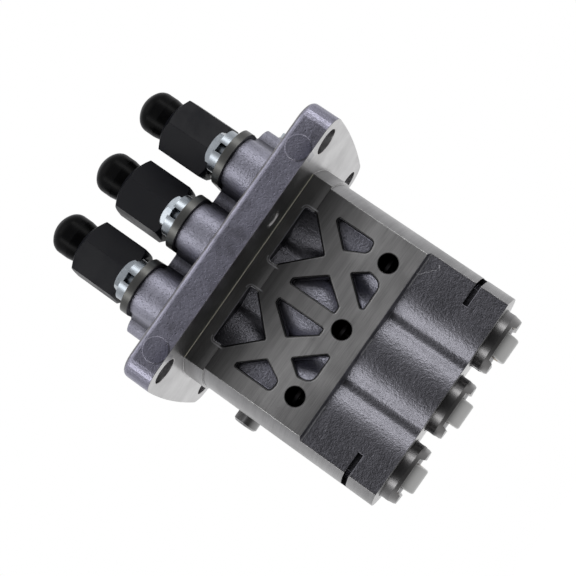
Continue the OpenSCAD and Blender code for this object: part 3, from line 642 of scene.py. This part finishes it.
    def flash_scar(self, x, z, length, turn):
        """A thin crooked line of broken casting flash on the front of the lower body."""
        g = self.g
        wobble = g.times(g.minus(g.noise(self.place, 900.0, 2.0), 0.5), 1.6 * MM)
        right = g.minus(self.x, x - ROW_X)
        up = g.minus(self.z, z)
        ahead, aside = math.cos(math.radians(turn)), math.sin(math.radians(turn))
        along = g.plus(g.times(right, ahead), g.times(up, aside))
        across = g.minus(g.times(up, ahead), g.times(right, aside))
        line = g.near(g.plus(across, wobble), 0, 0.14 * MM)
        return g.all_of(line, g.near(along, length / 2, length / 2), g.below(self.y, LOW_FRONT))


def cast_skin_colour(g, where, skin, tone, fine):
    """Blasted skin, bluer on the flange, with painted shade in its hollows and painted light on the head
    and the lower pockets.
    """
    colour = g.mix_colour(g.steps(tone, 0.28, 0.72), scaled(skin, 0.6), scaled(skin, 1))
    # The head is made lighter by painted light, on top of its own grain.
    head = g.mix_colour(g.steps(fine["Tone"], 0.24, 0.62), scaled(skin, 0.75, 0.76, 0.8),
                        scaled(skin, 1.3, 1.3, 1.38))
    colour = g.mix_colour(where.head, colour, head)
    bluer = g.mix_colour(1.0, colour, (1.25, 1.24, 1.36, 1.0), "MULTIPLY")
    colour = g.mix_colour(where.flange, colour, bluer)
    # Colour of the painted shade in the casting's hollows, here between the screw bosses.
    painted_hollow_shade = scaled(skin, 0.1)
    colour = g.tint(colour, where.valley_shade(), 0.6, painted_hollow_shade)
    # Painted shade in the pad's pockets, deepest up under the flange, and painted light on the pockets
    # lower down.
    shade = g.times(where.pockets, g.steps(where.z, -30 * MM, -15 * MM))
    depth = g.mix(g.steps(where.z, -18 * MM, -9 * MM), 0.38, 0.66)
    colour = g.tint(colour, shade, depth, painted_hollow_shade)
    lit = g.times(where.pockets, g.steps(where.z, -18 * MM, -28 * MM))
    lighter = g.mix_colour(1.0, colour, (1.3, 1.31, 1.36, 1.0), "MULTIPLY")
    colour = g.mix_colour(lit, colour, lighter)
    dirt = g.times(where.flange, g.steps(g.noise(where.place, 75.0, 3.0, 0.6), 0.5, 0.72))
    return g.tint(colour, dirt, 0.5, scaled(skin, 0.3))


def cut_iron_colour(g, where, cut, marks):
    """Machined iron with its tool marks, made lighter on the milled pad by painted light and darker on
    the turned ends by painted shade.
    """
    lines = g.steps(marks["Tone"], 0.36, 0.64)
    plain = g.mix_colour(lines, scaled(cut, 0.88), scaled(cut, 1.02))
    # The turned ends are darkened and the milled pad lightened, as painted shade and painted light on one
    # iron.
    turned = g.mix_colour(lines, scaled(cut, 0.42), scaled(cut, 0.54))
    warmer = (cut[0], cut[1], cut[2] * 0.98)
    milled = g.mix_colour(lines, scaled(warmer, 1.06), scaled(warmer, 1.5))
    return g.mix_colour(where.pad, g.mix_colour(where.turned, plain, turned), milled)


def worn_colour(g, where, skin, colour, edges):
    """The flange's cast marks with painted shade towards their foot, its dark brow, then every edge that
    handling has rubbed.
    """
    chips = g.steps(g.noise(where.place, 260.0, 3.0, 0.6), 0.4, 0.6)
    mark, mark_painted_shade = where.cast_mark()
    # The marks are a little darker and bluer all over, and painted shade darkens each more towards its
    # foot.
    colour = g.tint(colour, mark, mark_painted_shade, scaled(skin, 0.3, 0.3, 0.42))
    brow = g.all_of(where.flange, g.steps(where.z, *BROW), g.mix(chips, 0.85, 0.5))
    colour = g.mix_colour(brow, colour, scaled(skin, 0.5, 0.48, 0.38))
    rubbed = g.all_of(where.flange, g.mix(chips, 0.45, 0.95), g.mix(mark, 1.0, 0.35))
    worn = g.times(edges, g.any_of(rubbed, where.low_corners()))
    bare = g.mix_colour(where.flange, scaled(skin, 2.0, 1.98, 1.8), scaled(skin, 1.25, 1.2, 0.95))
    return g.mix_colour(worn, colour, bare)


def shaded_colour(g, where, skin, colour, open_air):
    """Painted shade under the flange and in hollows, and a mask of the places that hardly shine."""
    on_band = g.above(where.z, BAND_FOOT)
    # Painted shade on the pad, growing up towards the flange, with an even painted shade on the band next
    # to it.
    under_flange = g.mix(on_band, g.times(g.steps(where.z, -34 * MM, -9 * MM), 0.78), 0.45)
    colour = g.tint(colour, where.pad, under_flange, BLACK)
    rims, windows, grooves = where.pocket_rims(), where.windows(), where.grooves()
    # Painted shade: the pocket rims, the crevices the AO finds, the windows and the grooves are darkened
    # towards black.
    colour = g.tint(colour, rims, 0.86, BLACK)
    colour = g.mix_colour(open_air, scaled(skin, 0.1), colour)
    colour = g.tint(colour, windows, 0.93, BLACK)
    colour = g.tint(colour, grooves, 0.5, BLACK)
    return colour, g.any_of(g.minus(1.0, open_air), grooves, rims, windows)


def bright_line_colour(g, where, colour):
    """The burr at the pad's foot, broken flash, painted highlights at the top pockets' corners and the
    pale seam.
    """
    burr = where.front_line(BURR_Z, 0.22 * MM, LOW_FACE, 0.3 * MM)
    colour = g.tint(colour, burr, 0.7, (0.8, 0.8, 0.82, 1.0))
    scars = g.any_of(*[where.flash_scar(*scar) for scar in FLASH_SCARS])
    colour = g.tint(colour, scars, 0.7, (0.95, 0.95, 1.0, 1.0))
    # Painted highlights on the top pockets' lip.
    colour = g.tint(colour, where.painted_lip_highlights(), 0.75, (0.9, 0.9, 0.93, 1.0))
    seam = where.front_line(0, 0.2 * MM, PAD_FACE, 0.35 * MM)
    return g.mix_colour(seam, colour, (1.0, 0.97, 0.82, 1.0))


def casting_finish(settings):
    """Blasted grey iron with milled, turned and drilled faces."""
    material, g, shader = finish_material("Pump Casting")
    where = CastingMap(g)
    skin = settings.cast_colour
    fine = place_group(g, cast_grain_group(), Grain=settings.grain_size * 0.8, Pits=0.5)
    wrinkles = place_group(g, cast_grain_group(), Grain=settings.grain_size, Pits=0.1)
    marks = place_group(g, tool_marks_group(), Spacing=0.22 * MM)
    smears = place_group(g, handling_group(), Size=30 * MM)
    soft = rounded_edges(g, 0.45 * MM)
    openness = g.openness(g.mix(where.head, 3 * MM, 7 * MM), soft)
    open_air = g.mix(where.head, g.steps(openness, 0.05, 0.65), g.steps(openness, 0.25, 0.85))

    tone = g.mix(g.any_of(where.flange, where.pockets), wrinkles["Tone"], fine["Tone"])
    cast = cast_skin_colour(g, where, skin, tone, fine)
    cut = cut_iron_colour(g, where, settings.machined_colour, marks)
    colour = g.mix_colour(where.machined, cast, cut)
    colour = worn_colour(g, where, skin, colour, edge_mask(g, soft))
    colour, painted_shade_mask = shaded_colour(g, where, skin, colour, open_air)
    g.feed(bright_line_colour(g, where, colour), shader.inputs["Base Color"])
    # Reflections are painted out where the painted shade lies.
    g.feed(g.mix_colour(painted_shade_mask, WHITE, (0.06, 0.06, 0.06, 1)), shader.inputs["Specular Tint"])

    rough_cast = g.plus(g.mix(tone, 0.33, 0.43), g.times(where.head, 0.1))
    rough_cast = g.minus(rough_cast, g.times(where.flange, 0.06))
    rough_cut = g.mix(smears["Mask"], 0.28, 0.38)
    g.feed(g.mix(where.machined, rough_cast, rough_cut), shader.inputs["Roughness"])
    shader.inputs["Metallic"].default_value = 1.0
    height = g.mix(where.flange, wrinkles["Height"], g.times(fine["Height"], 0.6))
    height = g.mix(g.any_of(where.head, where.pockets), height, g.times(fine["Height"], 1.3))
    height = g.mix(where.machined, height, g.times(marks["Height"], 0.08))
    g.feed(bump(g, height, 0.9, 0.18 * MM, soft), shader.inputs["Normal"])
    return material


def turned_steel_finish(name, colour, roughness, marks_depth, edge=0.25, wear=0.3, film=1.0,
                        spacing=0.3 * MM):
    """Steel with level tool marks, soft edges, a slow film of oil and painted shade where other faces
    stand close.
    """
    material, g, shader = finish_material(name)
    soft = rounded_edges(g, edge * MM)
    marks = place_group(g, tool_marks_group(), Spacing=spacing)
    smears = place_group(g, handling_group(), Size=12 * MM)
    tone = g.plus(g.times(marks["Tone"], 0.6), g.times(smears["Mask"], 0.4))
    base = g.mix_colour(tone, scaled(colour, 1 - 0.22 * film), scaled(colour, 1))
    bright = (*(min(1.0, part * 1.4 + 0.02) for part in colour), 1.0)
    base = g.tint(base, edge_mask(g, soft), wear, bright)
    # Painted shade in crevices.
    open_air = g.steps(g.openness(1.6 * MM), 0.1, 0.75)
    g.feed(g.mix_colour(open_air, scaled(colour, 0.12), base), shader.inputs["Base Color"])
    spread = 0.15 * film
    g.feed(g.mix(tone, roughness * (1 - spread), roughness * (1 + spread)), shader.inputs["Roughness"])
    shader.inputs["Metallic"].default_value = 1.0
    g.feed(bump(g, marks["Height"], 0.3, marks_depth * MM, soft), shader.inputs["Normal"])
    return material


def zinc_finish(settings):
    """Bright zinc plate with a faint patchy bloom and painted shade where other faces stand close."""
    material, g, shader = finish_material("Bright Zinc")
    soft = rounded_edges(g, 0.1 * MM)
    patches = place_group(g, cast_grain_group(), Grain=1.4 * MM, Pits=0.0)
    smears = place_group(g, handling_group(), Size=5 * MM)
    bloom = g.steps(patches["Tone"], 0.35, 0.65)
    zinc = settings.zinc_colour
    base = g.mix_colour(bloom, scaled(zinc, 0.9), scaled(zinc, 1))
    base = g.tint(base, smears["Mask"], 0.4, scaled(zinc, 0.68, 0.7, 0.73))
    # Painted shade in crevices.
    open_air = g.steps(g.openness(2.5 * MM), 0.1, 0.7)
    g.feed(g.mix_colour(open_air, (0.01, 0.011, 0.013, 1), base), shader.inputs["Base Color"])
    g.feed(g.mix(bloom, 0.24, 0.32), shader.inputs["Roughness"])
    shader.inputs["Metallic"].default_value = 1.0
    g.feed(bump(g, patches["Height"], 0.3, 0.012 * MM, soft), shader.inputs["Normal"])
    return material


def black_oxide_finish(settings):
    """Blackened steel, dull and nearly even, a little lighter on its edges."""
    material, g, shader = finish_material("Black Oxide")
    soft = rounded_edges(g, 0.35 * MM)
    grain = place_group(g, cast_grain_group(), Grain=0.4 * MM, Pits=0.0)
    smears = place_group(g, handling_group(), Size=10 * MM)
    oxide = settings.oxide_colour
    base = g.mix_colour(smears["Mask"], scaled(oxide, 0.8), scaled(oxide, 1))
    base = g.tint(base, edge_mask(g, soft), 0.4, (0.02, 0.02, 0.024, 1))
    g.feed(base, shader.inputs["Base Color"])
    g.feed(g.mix(smears["Mask"], 0.36, 0.48), shader.inputs["Roughness"])
    shader.inputs["Metallic"].default_value = 0.0
    shader.inputs["Specular IOR Level"].default_value = 0.2
    g.feed(bump(g, grain["Height"], 0.25, 0.03 * MM, soft), shader.inputs["Normal"])
    return material


def rubber_finish(name, colour, roughness):
    """Moulded rubber with a faint grain and lighter smears."""
    material, g, shader = finish_material(name)
    shader.inputs["Specular IOR Level"].default_value = 0.5
    shader.inputs["IOR"].default_value = 1.16
    grain = place_group(g, cast_grain_group(), Grain=0.9 * MM, Pits=0.0)
    smears = place_group(g, handling_group(), Size=8 * MM)
    base = g.mix_colour(smears["Mask"], scaled(colour, 1), scaled(colour, 1.7))
    g.feed(base, shader.inputs["Base Color"])
    g.feed(g.mix(smears["Mask"], roughness * 0.8, roughness * 1.25), shader.inputs["Roughness"])
    g.feed(bump(g, grain["Height"], 0.2, 0.05 * MM), shader.inputs["Normal"])
    return material


class PUMP_OT_casting(bpy.types.Operator):
    """Give the housing its blasted skin and machined faces"""

    bl_idname = "pump.casting"
    bl_label = "Casting"

    def execute(self, context):
        dress(["pump_body"], casting_finish(context.scene.pump_finishes))
        return {"FINISHED"}


class PUMP_OT_barrels(bpy.types.Operator):
    """Give the barrels, their screws and their notched rings their steel and zinc"""

    bl_idname = "pump.barrels"
    bl_label = "Barrels and screws"

    def execute(self, context):
        barrel = turned_steel_finish("Oiled Steel", (0.145, 0.145, 0.138), 0.36, 0.12, spacing=0.6 * MM)
        zinc = zinc_finish(context.scene.pump_finishes)
        dress([f"barrel_{k}" for k in COLUMNS], barrel)
        dress(["barrel_screws", "notched_rings", "rack_guide_screw", "gallery_plug"], zinc)
        return {"FINISHED"}


class PUMP_OT_holders(bpy.types.Operator):
    """Blacken the delivery valve holders"""

    bl_idname = "pump.holders"
    bl_label = "Valve holders"

    def execute(self, context):
        dress([f"delivery_holder_{k}" for k in COLUMNS], black_oxide_finish(context.scene.pump_finishes))
        return {"FINISHED"}


class PUMP_OT_caps(bpy.types.Operator):
    """Finish the rubber caps"""

    bl_idname = "pump.caps"
    bl_label = "Rubber caps"

    def execute(self, context):
        rubber = rubber_finish("Cap Rubber", context.scene.pump_finishes.rubber_colour, 0.3)
        dress([f"outlet_cap_{k}" for k in COLUMNS], rubber)
        return {"FINISHED"}


class PUMP_OT_tappets(bpy.types.Operator):
    """Finish the tappets, rollers, pins and bushes"""

    bl_idname = "pump.tappets"
    bl_label = "Roller tappets"

    def execute(self, context):
        dark = turned_steel_finish("Tappet Steel", (0.25, 0.246, 0.247), 0.3, 0.0, edge=0.3, wear=0.4,
                                   film=0.15)
        roller = turned_steel_finish("Roller Steel", (0.59, 0.59, 0.585), 0.34, 0.004, edge=0.3, film=0.3)
        bright = turned_steel_finish("Ground Steel", (0.55, 0.55, 0.56), 0.25, 0.01)
        bronze = turned_steel_finish("Bush Bronze", (0.5, 0.33, 0.15), 0.35, 0.02)
        dress([f"tappet_{k}" for k in COLUMNS], dark)
        dress([f"lower_spring_seat_{k}" for k in COLUMNS] + ["upper_spring_seats"], dark)
        dress([f"roller_{k}" for k in COLUMNS], roller)
        dress([f"roller_pin_{k}" for k in COLUMNS] + ["tappet_guide_pins"], bright)
        dress([f"roller_bush_{k}" for k in COLUMNS], bronze)
        return {"FINISHED"}


class PUMP_OT_control_gear(bpy.types.Operator):
    """Finish the rack, sleeves, plungers, valves, gaskets and seals"""

    bl_idname = "pump.control_gear"
    bl_label = "Control gear and inner parts"

    def execute(self, context):
        ground = turned_steel_finish("Rack Steel", (0.42, 0.42, 0.42), 0.32, 0.02)
        copper = turned_steel_finish("Copper", (0.55, 0.27, 0.15), 0.35, 0.01)
        seal = rubber_finish("Seal Rubber", (0.01, 0.01, 0.01), 0.45)
        dress(["control_rack"], ground)
        # The pinion sleeves are painted nearly black, with their reflections painted out, as painted
        # shade inside the inspection holes.
        shade_black_steel = turned_steel_finish("Shade Black Steel", (0.004, 0.004, 0.0037), 0.7, 0.01, wear=0.0)
        shade_black_shader = shade_black_steel.node_tree.nodes["Principled BSDF"]
        shade_black_shader.inputs["Specular Tint"].default_value = (0.02, 0.02, 0.02, 1)
        dress([f"control_sleeve_{k}" for k in COLUMNS], shade_black_steel)
        for part in ("plunger", "valve_seat", "delivery_valve"):
            dress([f"{part}_{k}" for k in COLUMNS], ground)
        dress(["valve_gaskets"], copper)
        dress(["gallery_plug_washer"], ground)
        dress(["barrel_o_rings"], seal)
        return {"FINISHED"}


def wound_spring(name, node, wire, turns):
    """A round wire wound through the box of a CAD spring."""
    low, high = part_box(node)
    radius = (high.x - low.x - wire) / 2
    bpy.ops.object.select_all(action="DESELECT")
    bpy.ops.mesh.primitive_circle_add(vertices=WIRE_SIDES, radius=wire / 2, location=(radius, 0, 0),
                                      rotation=(math.pi / 2, 0, 0))
    coil = bpy.context.object
    coil.name = name
    bpy.ops.object.transform_apply(location=True, rotation=True, scale=True)
    wind = coil.modifiers.new("Wind", "SCREW")
    wind.angle = turns * math.tau
    wind.screw_offset = high.z - low.z - wire
    wind.steps = round(turns * STEPS_PER_TURN)
    wind.render_steps = wind.steps
    bpy.ops.object.modifier_apply(modifier=wind.name)
    bpy.ops.object.mode_set(mode="EDIT")
    bpy.ops.mesh.select_mode(type="EDGE")
    bpy.ops.mesh.select_all(action="DESELECT")
    bpy.ops.mesh.select_non_manifold()
    bpy.ops.mesh.edge_face_add()
    bpy.ops.mesh.select_all(action="SELECT")
    bpy.ops.mesh.normals_make_consistent(inside=False)
    bpy.ops.object.mode_set(mode="OBJECT")
    bpy.ops.object.shade_smooth()
    bpy.ops.transform.translate(value=((low.x + high.x) / 2, (low.y + high.y) / 2, low.z + wire / 2))
    bpy.ops.object.transform_apply(location=True, rotation=True, scale=True)
    return coil


class PUMP_OT_springs(bpy.types.Operator):
    """Wind the plunger and valve springs"""

    bl_idname = "pump.springs"
    bl_label = "Springs"

    def execute(self, context):
        settings = context.scene.pump_springs
        steel = turned_steel_finish("Spring Steel", (0.02, 0.02, 0.022), 0.5, 0.01, wear=0.1)
        self.row(steel, "plunger", "tappet_lift", settings.plunger_wire, settings.plunger_turns)
        self.row(steel, "valve", "valve_lift", settings.valve_wire, settings.valve_turns)
        return {"FINISHED"}

    def row(self, steel, kind, joint, wire, turns):
        """One spring is wound at the first element and copied to the others."""
        first = wound_spring(f"{kind}_coil_1", f"{kind}_spring_1", wire, turns)
        first.data.materials.append(steel)
        coils = [first]
        for k in COLUMNS[1:]:
            bpy.ops.object.select_all(action="DESELECT")
            first.select_set(True)
            bpy.context.view_layer.objects.active = first
            bpy.ops.object.duplicate()
            coil = bpy.context.object
            coil.name = f"{kind}_coil_{k}"
            bpy.ops.transform.translate(value=(column_x(k) - column_x(1), 0, 0))
            bpy.ops.object.transform_apply(location=True, rotation=True, scale=True)
            coils.append(coil)
        for k, coil in zip(COLUMNS, coils):
            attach(coil, "housing")
            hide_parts(f"{kind}_spring_{k}")
            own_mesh(coil)


# Studio


def area_lamp(name, place, target, size, power):
    """Oblong lamp that faces its target."""
    lamp = bpy.data.lights.new(name, "AREA")
    lamp.shape = "RECTANGLE"
    lamp.size, lamp.size_y = size
    lamp.energy = power
    holder = bpy.data.objects.new(name, lamp)
    bpy.context.scene.collection.objects.link(holder)
    holder.location = place
    holder.rotation_euler = (Vector(target) - Vector(place)).to_track_quat("-Z", "Y").to_euler()


class PUMP_OT_studio(bpy.types.Operator):
    """Set the camera, lamps, white room and floor"""

    bl_idname = "pump.studio"
    bl_label = "Studio"

    def execute(self, context):
        settings = context.scene.pump_studio
        self.camera(settings)
        for name, x in (("Left Strip", -STRIP_SIDE), ("Right Strip", STRIP_SIDE)):
            area_lamp(name, (x, -0.52, 0.1), (0, 0, -0.02), STRIP_SIZE, settings.strip_power)
        area_lamp("Top Lamp", (-0.05, -0.38, 0.62), (0, 0, 0.02), TOP_LAMP_SIZE, settings.top_power)
        self.room(settings)
        self.floor()
        context.scene.view_settings.view_transform = "Standard"
        return {"FINISHED"}

    def camera(self, settings):
        """Camera fitted to the photograph."""
        data = bpy.data.cameras.new("Photo Camera")
        data.sensor_width = 36.0
        data.sensor_fit = "HORIZONTAL"
        data.lens = settings.lens
        data.clip_start = 0.01
        data.clip_end = 20.0
        camera = bpy.data.objects.new("Photo Camera", data)
        bpy.context.scene.collection.objects.link(camera)
        ahead = CAMERA_AHEAD.normalized()
        up = CAMERA_RIGHT.normalized().cross(ahead).normalized()
        right = ahead.cross(up).normalized()
        turn = Matrix((right, up, -ahead)).transposed().to_4x4()
        camera.matrix_world = Matrix.Translation(CAMERA_PLACE) @ turn
        bpy.context.scene.camera = camera

    def room(self, settings):
        """White to the camera, even light for matt surfaces, light and dark bands for shiny ones."""
        world = bpy.data.worlds.new("White Room")
        bpy.context.scene.world = world
        world.use_nodes = True
        world.node_tree.nodes.clear()
        g = Graph(world.node_tree)
        way = g.split(g.add("ShaderNodeTexCoord").outputs["Generated"])
        sideways = g.math("ARCTAN2", g.absolute(way["X"]), g.times(way["Y"], -1))
        ramp = g.add("ShaderNodeValToRGB")
        g.feed(g.math("DIVIDE", sideways, math.pi), ramp.inputs["Fac"])
        stops = ramp.color_ramp.elements
        stops[0].position, stops[0].color = 0.0, (0.03, 0.03, 0.032, 1)
        stops[1].position, stops[1].color = 1.0, WHITE
        for position, level in ROOM_LEVELS:
            stop = stops.new(position)
            stop.color = (level, level, level * 1.02, 1)
        overhead = g.steps(way["Z"], 0.1, 0.55)
        shine = g.mix_colour(overhead, ramp.outputs["Color"], (0.8, 0.8, 0.82, 1))
        path = g.add("ShaderNodeLightPath").outputs
        mirror = g.math("MAXIMUM", path["Is Glossy Ray"], path["Is Transmission Ray"])
        matt = g.add("ShaderNodeBackground", inputs={"Color": WHITE, "Strength": settings.ambient})
        shiny = g.add("ShaderNodeBackground", inputs={"Color": shine, "Strength": 1.0})
        seen = g.add("ShaderNodeBackground", inputs={"Color": WHITE, "Strength": 1.0})
        light = g.mix_shader(mirror, matt.outputs[0], shiny.outputs[0])
        both = g.mix_shader(path["Is Camera Ray"], light, seen.outputs[0])
        g.feed(both, g.add("ShaderNodeOutputWorld").inputs["Surface"])

    def floor(self):
        """A paper sheet that is white to the camera and dark in reflections near the front."""
        bpy.ops.object.select_all(action="DESELECT")
        bpy.ops.mesh.primitive_circle_add(vertices=64, radius=FLOOR_RADIUS, fill_type="NGON",
                                          location=(0, 0, FLOOR_Z))
        floor = bpy.context.object
        floor.name = "Studio Floor"
        bpy.ops.object.transform_apply(location=True, rotation=True, scale=True)
        material, g, shader = finish_material("Floor Paper")
        place = g.add("ShaderNodeTexCoord").outputs["Object"]
        paper = g.noise(place, 400.0, 3.0)
        white = g.mix_colour(paper, (0.84, 0.84, 0.84, 1), (0.88, 0.88, 0.88, 1))
        g.feed(white, shader.inputs["Base Color"])
        shader.inputs["Roughness"].default_value = 0.9
        y = g.split(place)["Y"]
        nearby = g.mix(g.steps(y, -0.4, 0.05), 0.04, 0.6)
        mirrored = g.mix(g.steps(y, 0.05, 0.8), nearby, 1.0)
        path = g.add("ShaderNodeLightPath").outputs
        glow = g.times(path["Is Camera Ray"], 0.62)
        seen = g.add("ShaderNodeEmission", inputs={"Color": WHITE, "Strength": glow})
        paper_shader = g.add("ShaderNodeAddShader")
        g.feed(shader.outputs[0], paper_shader.inputs[0])
        g.feed(seen.outputs[0], paper_shader.inputs[1])
        shine = g.add("ShaderNodeEmission", inputs={"Color": WHITE, "Strength": mirrored})
        both = g.mix_shader(path["Is Glossy Ray"], paper_shader.outputs[0], shine.outputs[0])
        out = [n for n in material.node_tree.nodes if n.type == "OUTPUT_MATERIAL"][0]
        g.feed(both, out.inputs["Surface"])
        floor.data.materials.append(material)


# Sidebar, registration and run


STEPS = (
    PUMP_OT_studio,
    PUMP_OT_casting,
    PUMP_OT_barrels,
    PUMP_OT_holders,
    PUMP_OT_caps,
    PUMP_OT_tappets,
    PUMP_OT_control_gear,
    PUMP_OT_springs,
)


class PUMP_PT_sidebar(bpy.types.Panel):
    """Settings and steps in the order in which they run"""

    bl_label = "Injection Pump"
    bl_idname = "PUMP_PT_sidebar"
    bl_space_type = "VIEW_3D"
    bl_region_type = "UI"
    bl_category = "Pump"

    def draw(self, context):
        layout = self.layout
        scene = context.scene
        for owner in (scene.pump_finishes, scene.pump_springs, scene.pump_studio):
            box = layout.box()
            for name in owner.__annotations__:
                box.prop(owner, name)
        for step in STEPS:
            layout.operator(step.bl_idname)


CLASSES = (PumpFinishSettings, PumpSpringSettings, PumpStudioSettings, *STEPS, PUMP_PT_sidebar)


def register():
    for cls in CLASSES:
        bpy.utils.register_class(cls)
    bpy.types.Scene.pump_finishes = bpy.props.PointerProperty(type=PumpFinishSettings)
    bpy.types.Scene.pump_springs = bpy.props.PointerProperty(type=PumpSpringSettings)
    bpy.types.Scene.pump_studio = bpy.props.PointerProperty(type=PumpStudioSettings)


def unregister():
    del bpy.types.Scene.pump_studio
    del bpy.types.Scene.pump_springs
    del bpy.types.Scene.pump_finishes
    for cls in reversed(CLASSES):
        bpy.utils.unregister_class(cls)


def main():
    register()
    bpy.ops.object.select_all(action="DESELECT")
    bpy.ops.pump.studio()
    bpy.ops.pump.casting()
    bpy.ops.pump.barrels()
    bpy.ops.pump.holders()
    bpy.ops.pump.caps()
    bpy.ops.pump.tappets()
    bpy.ops.pump.control_gear()
    bpy.ops.pump.springs()


if __name__ == "__main__":
    main()
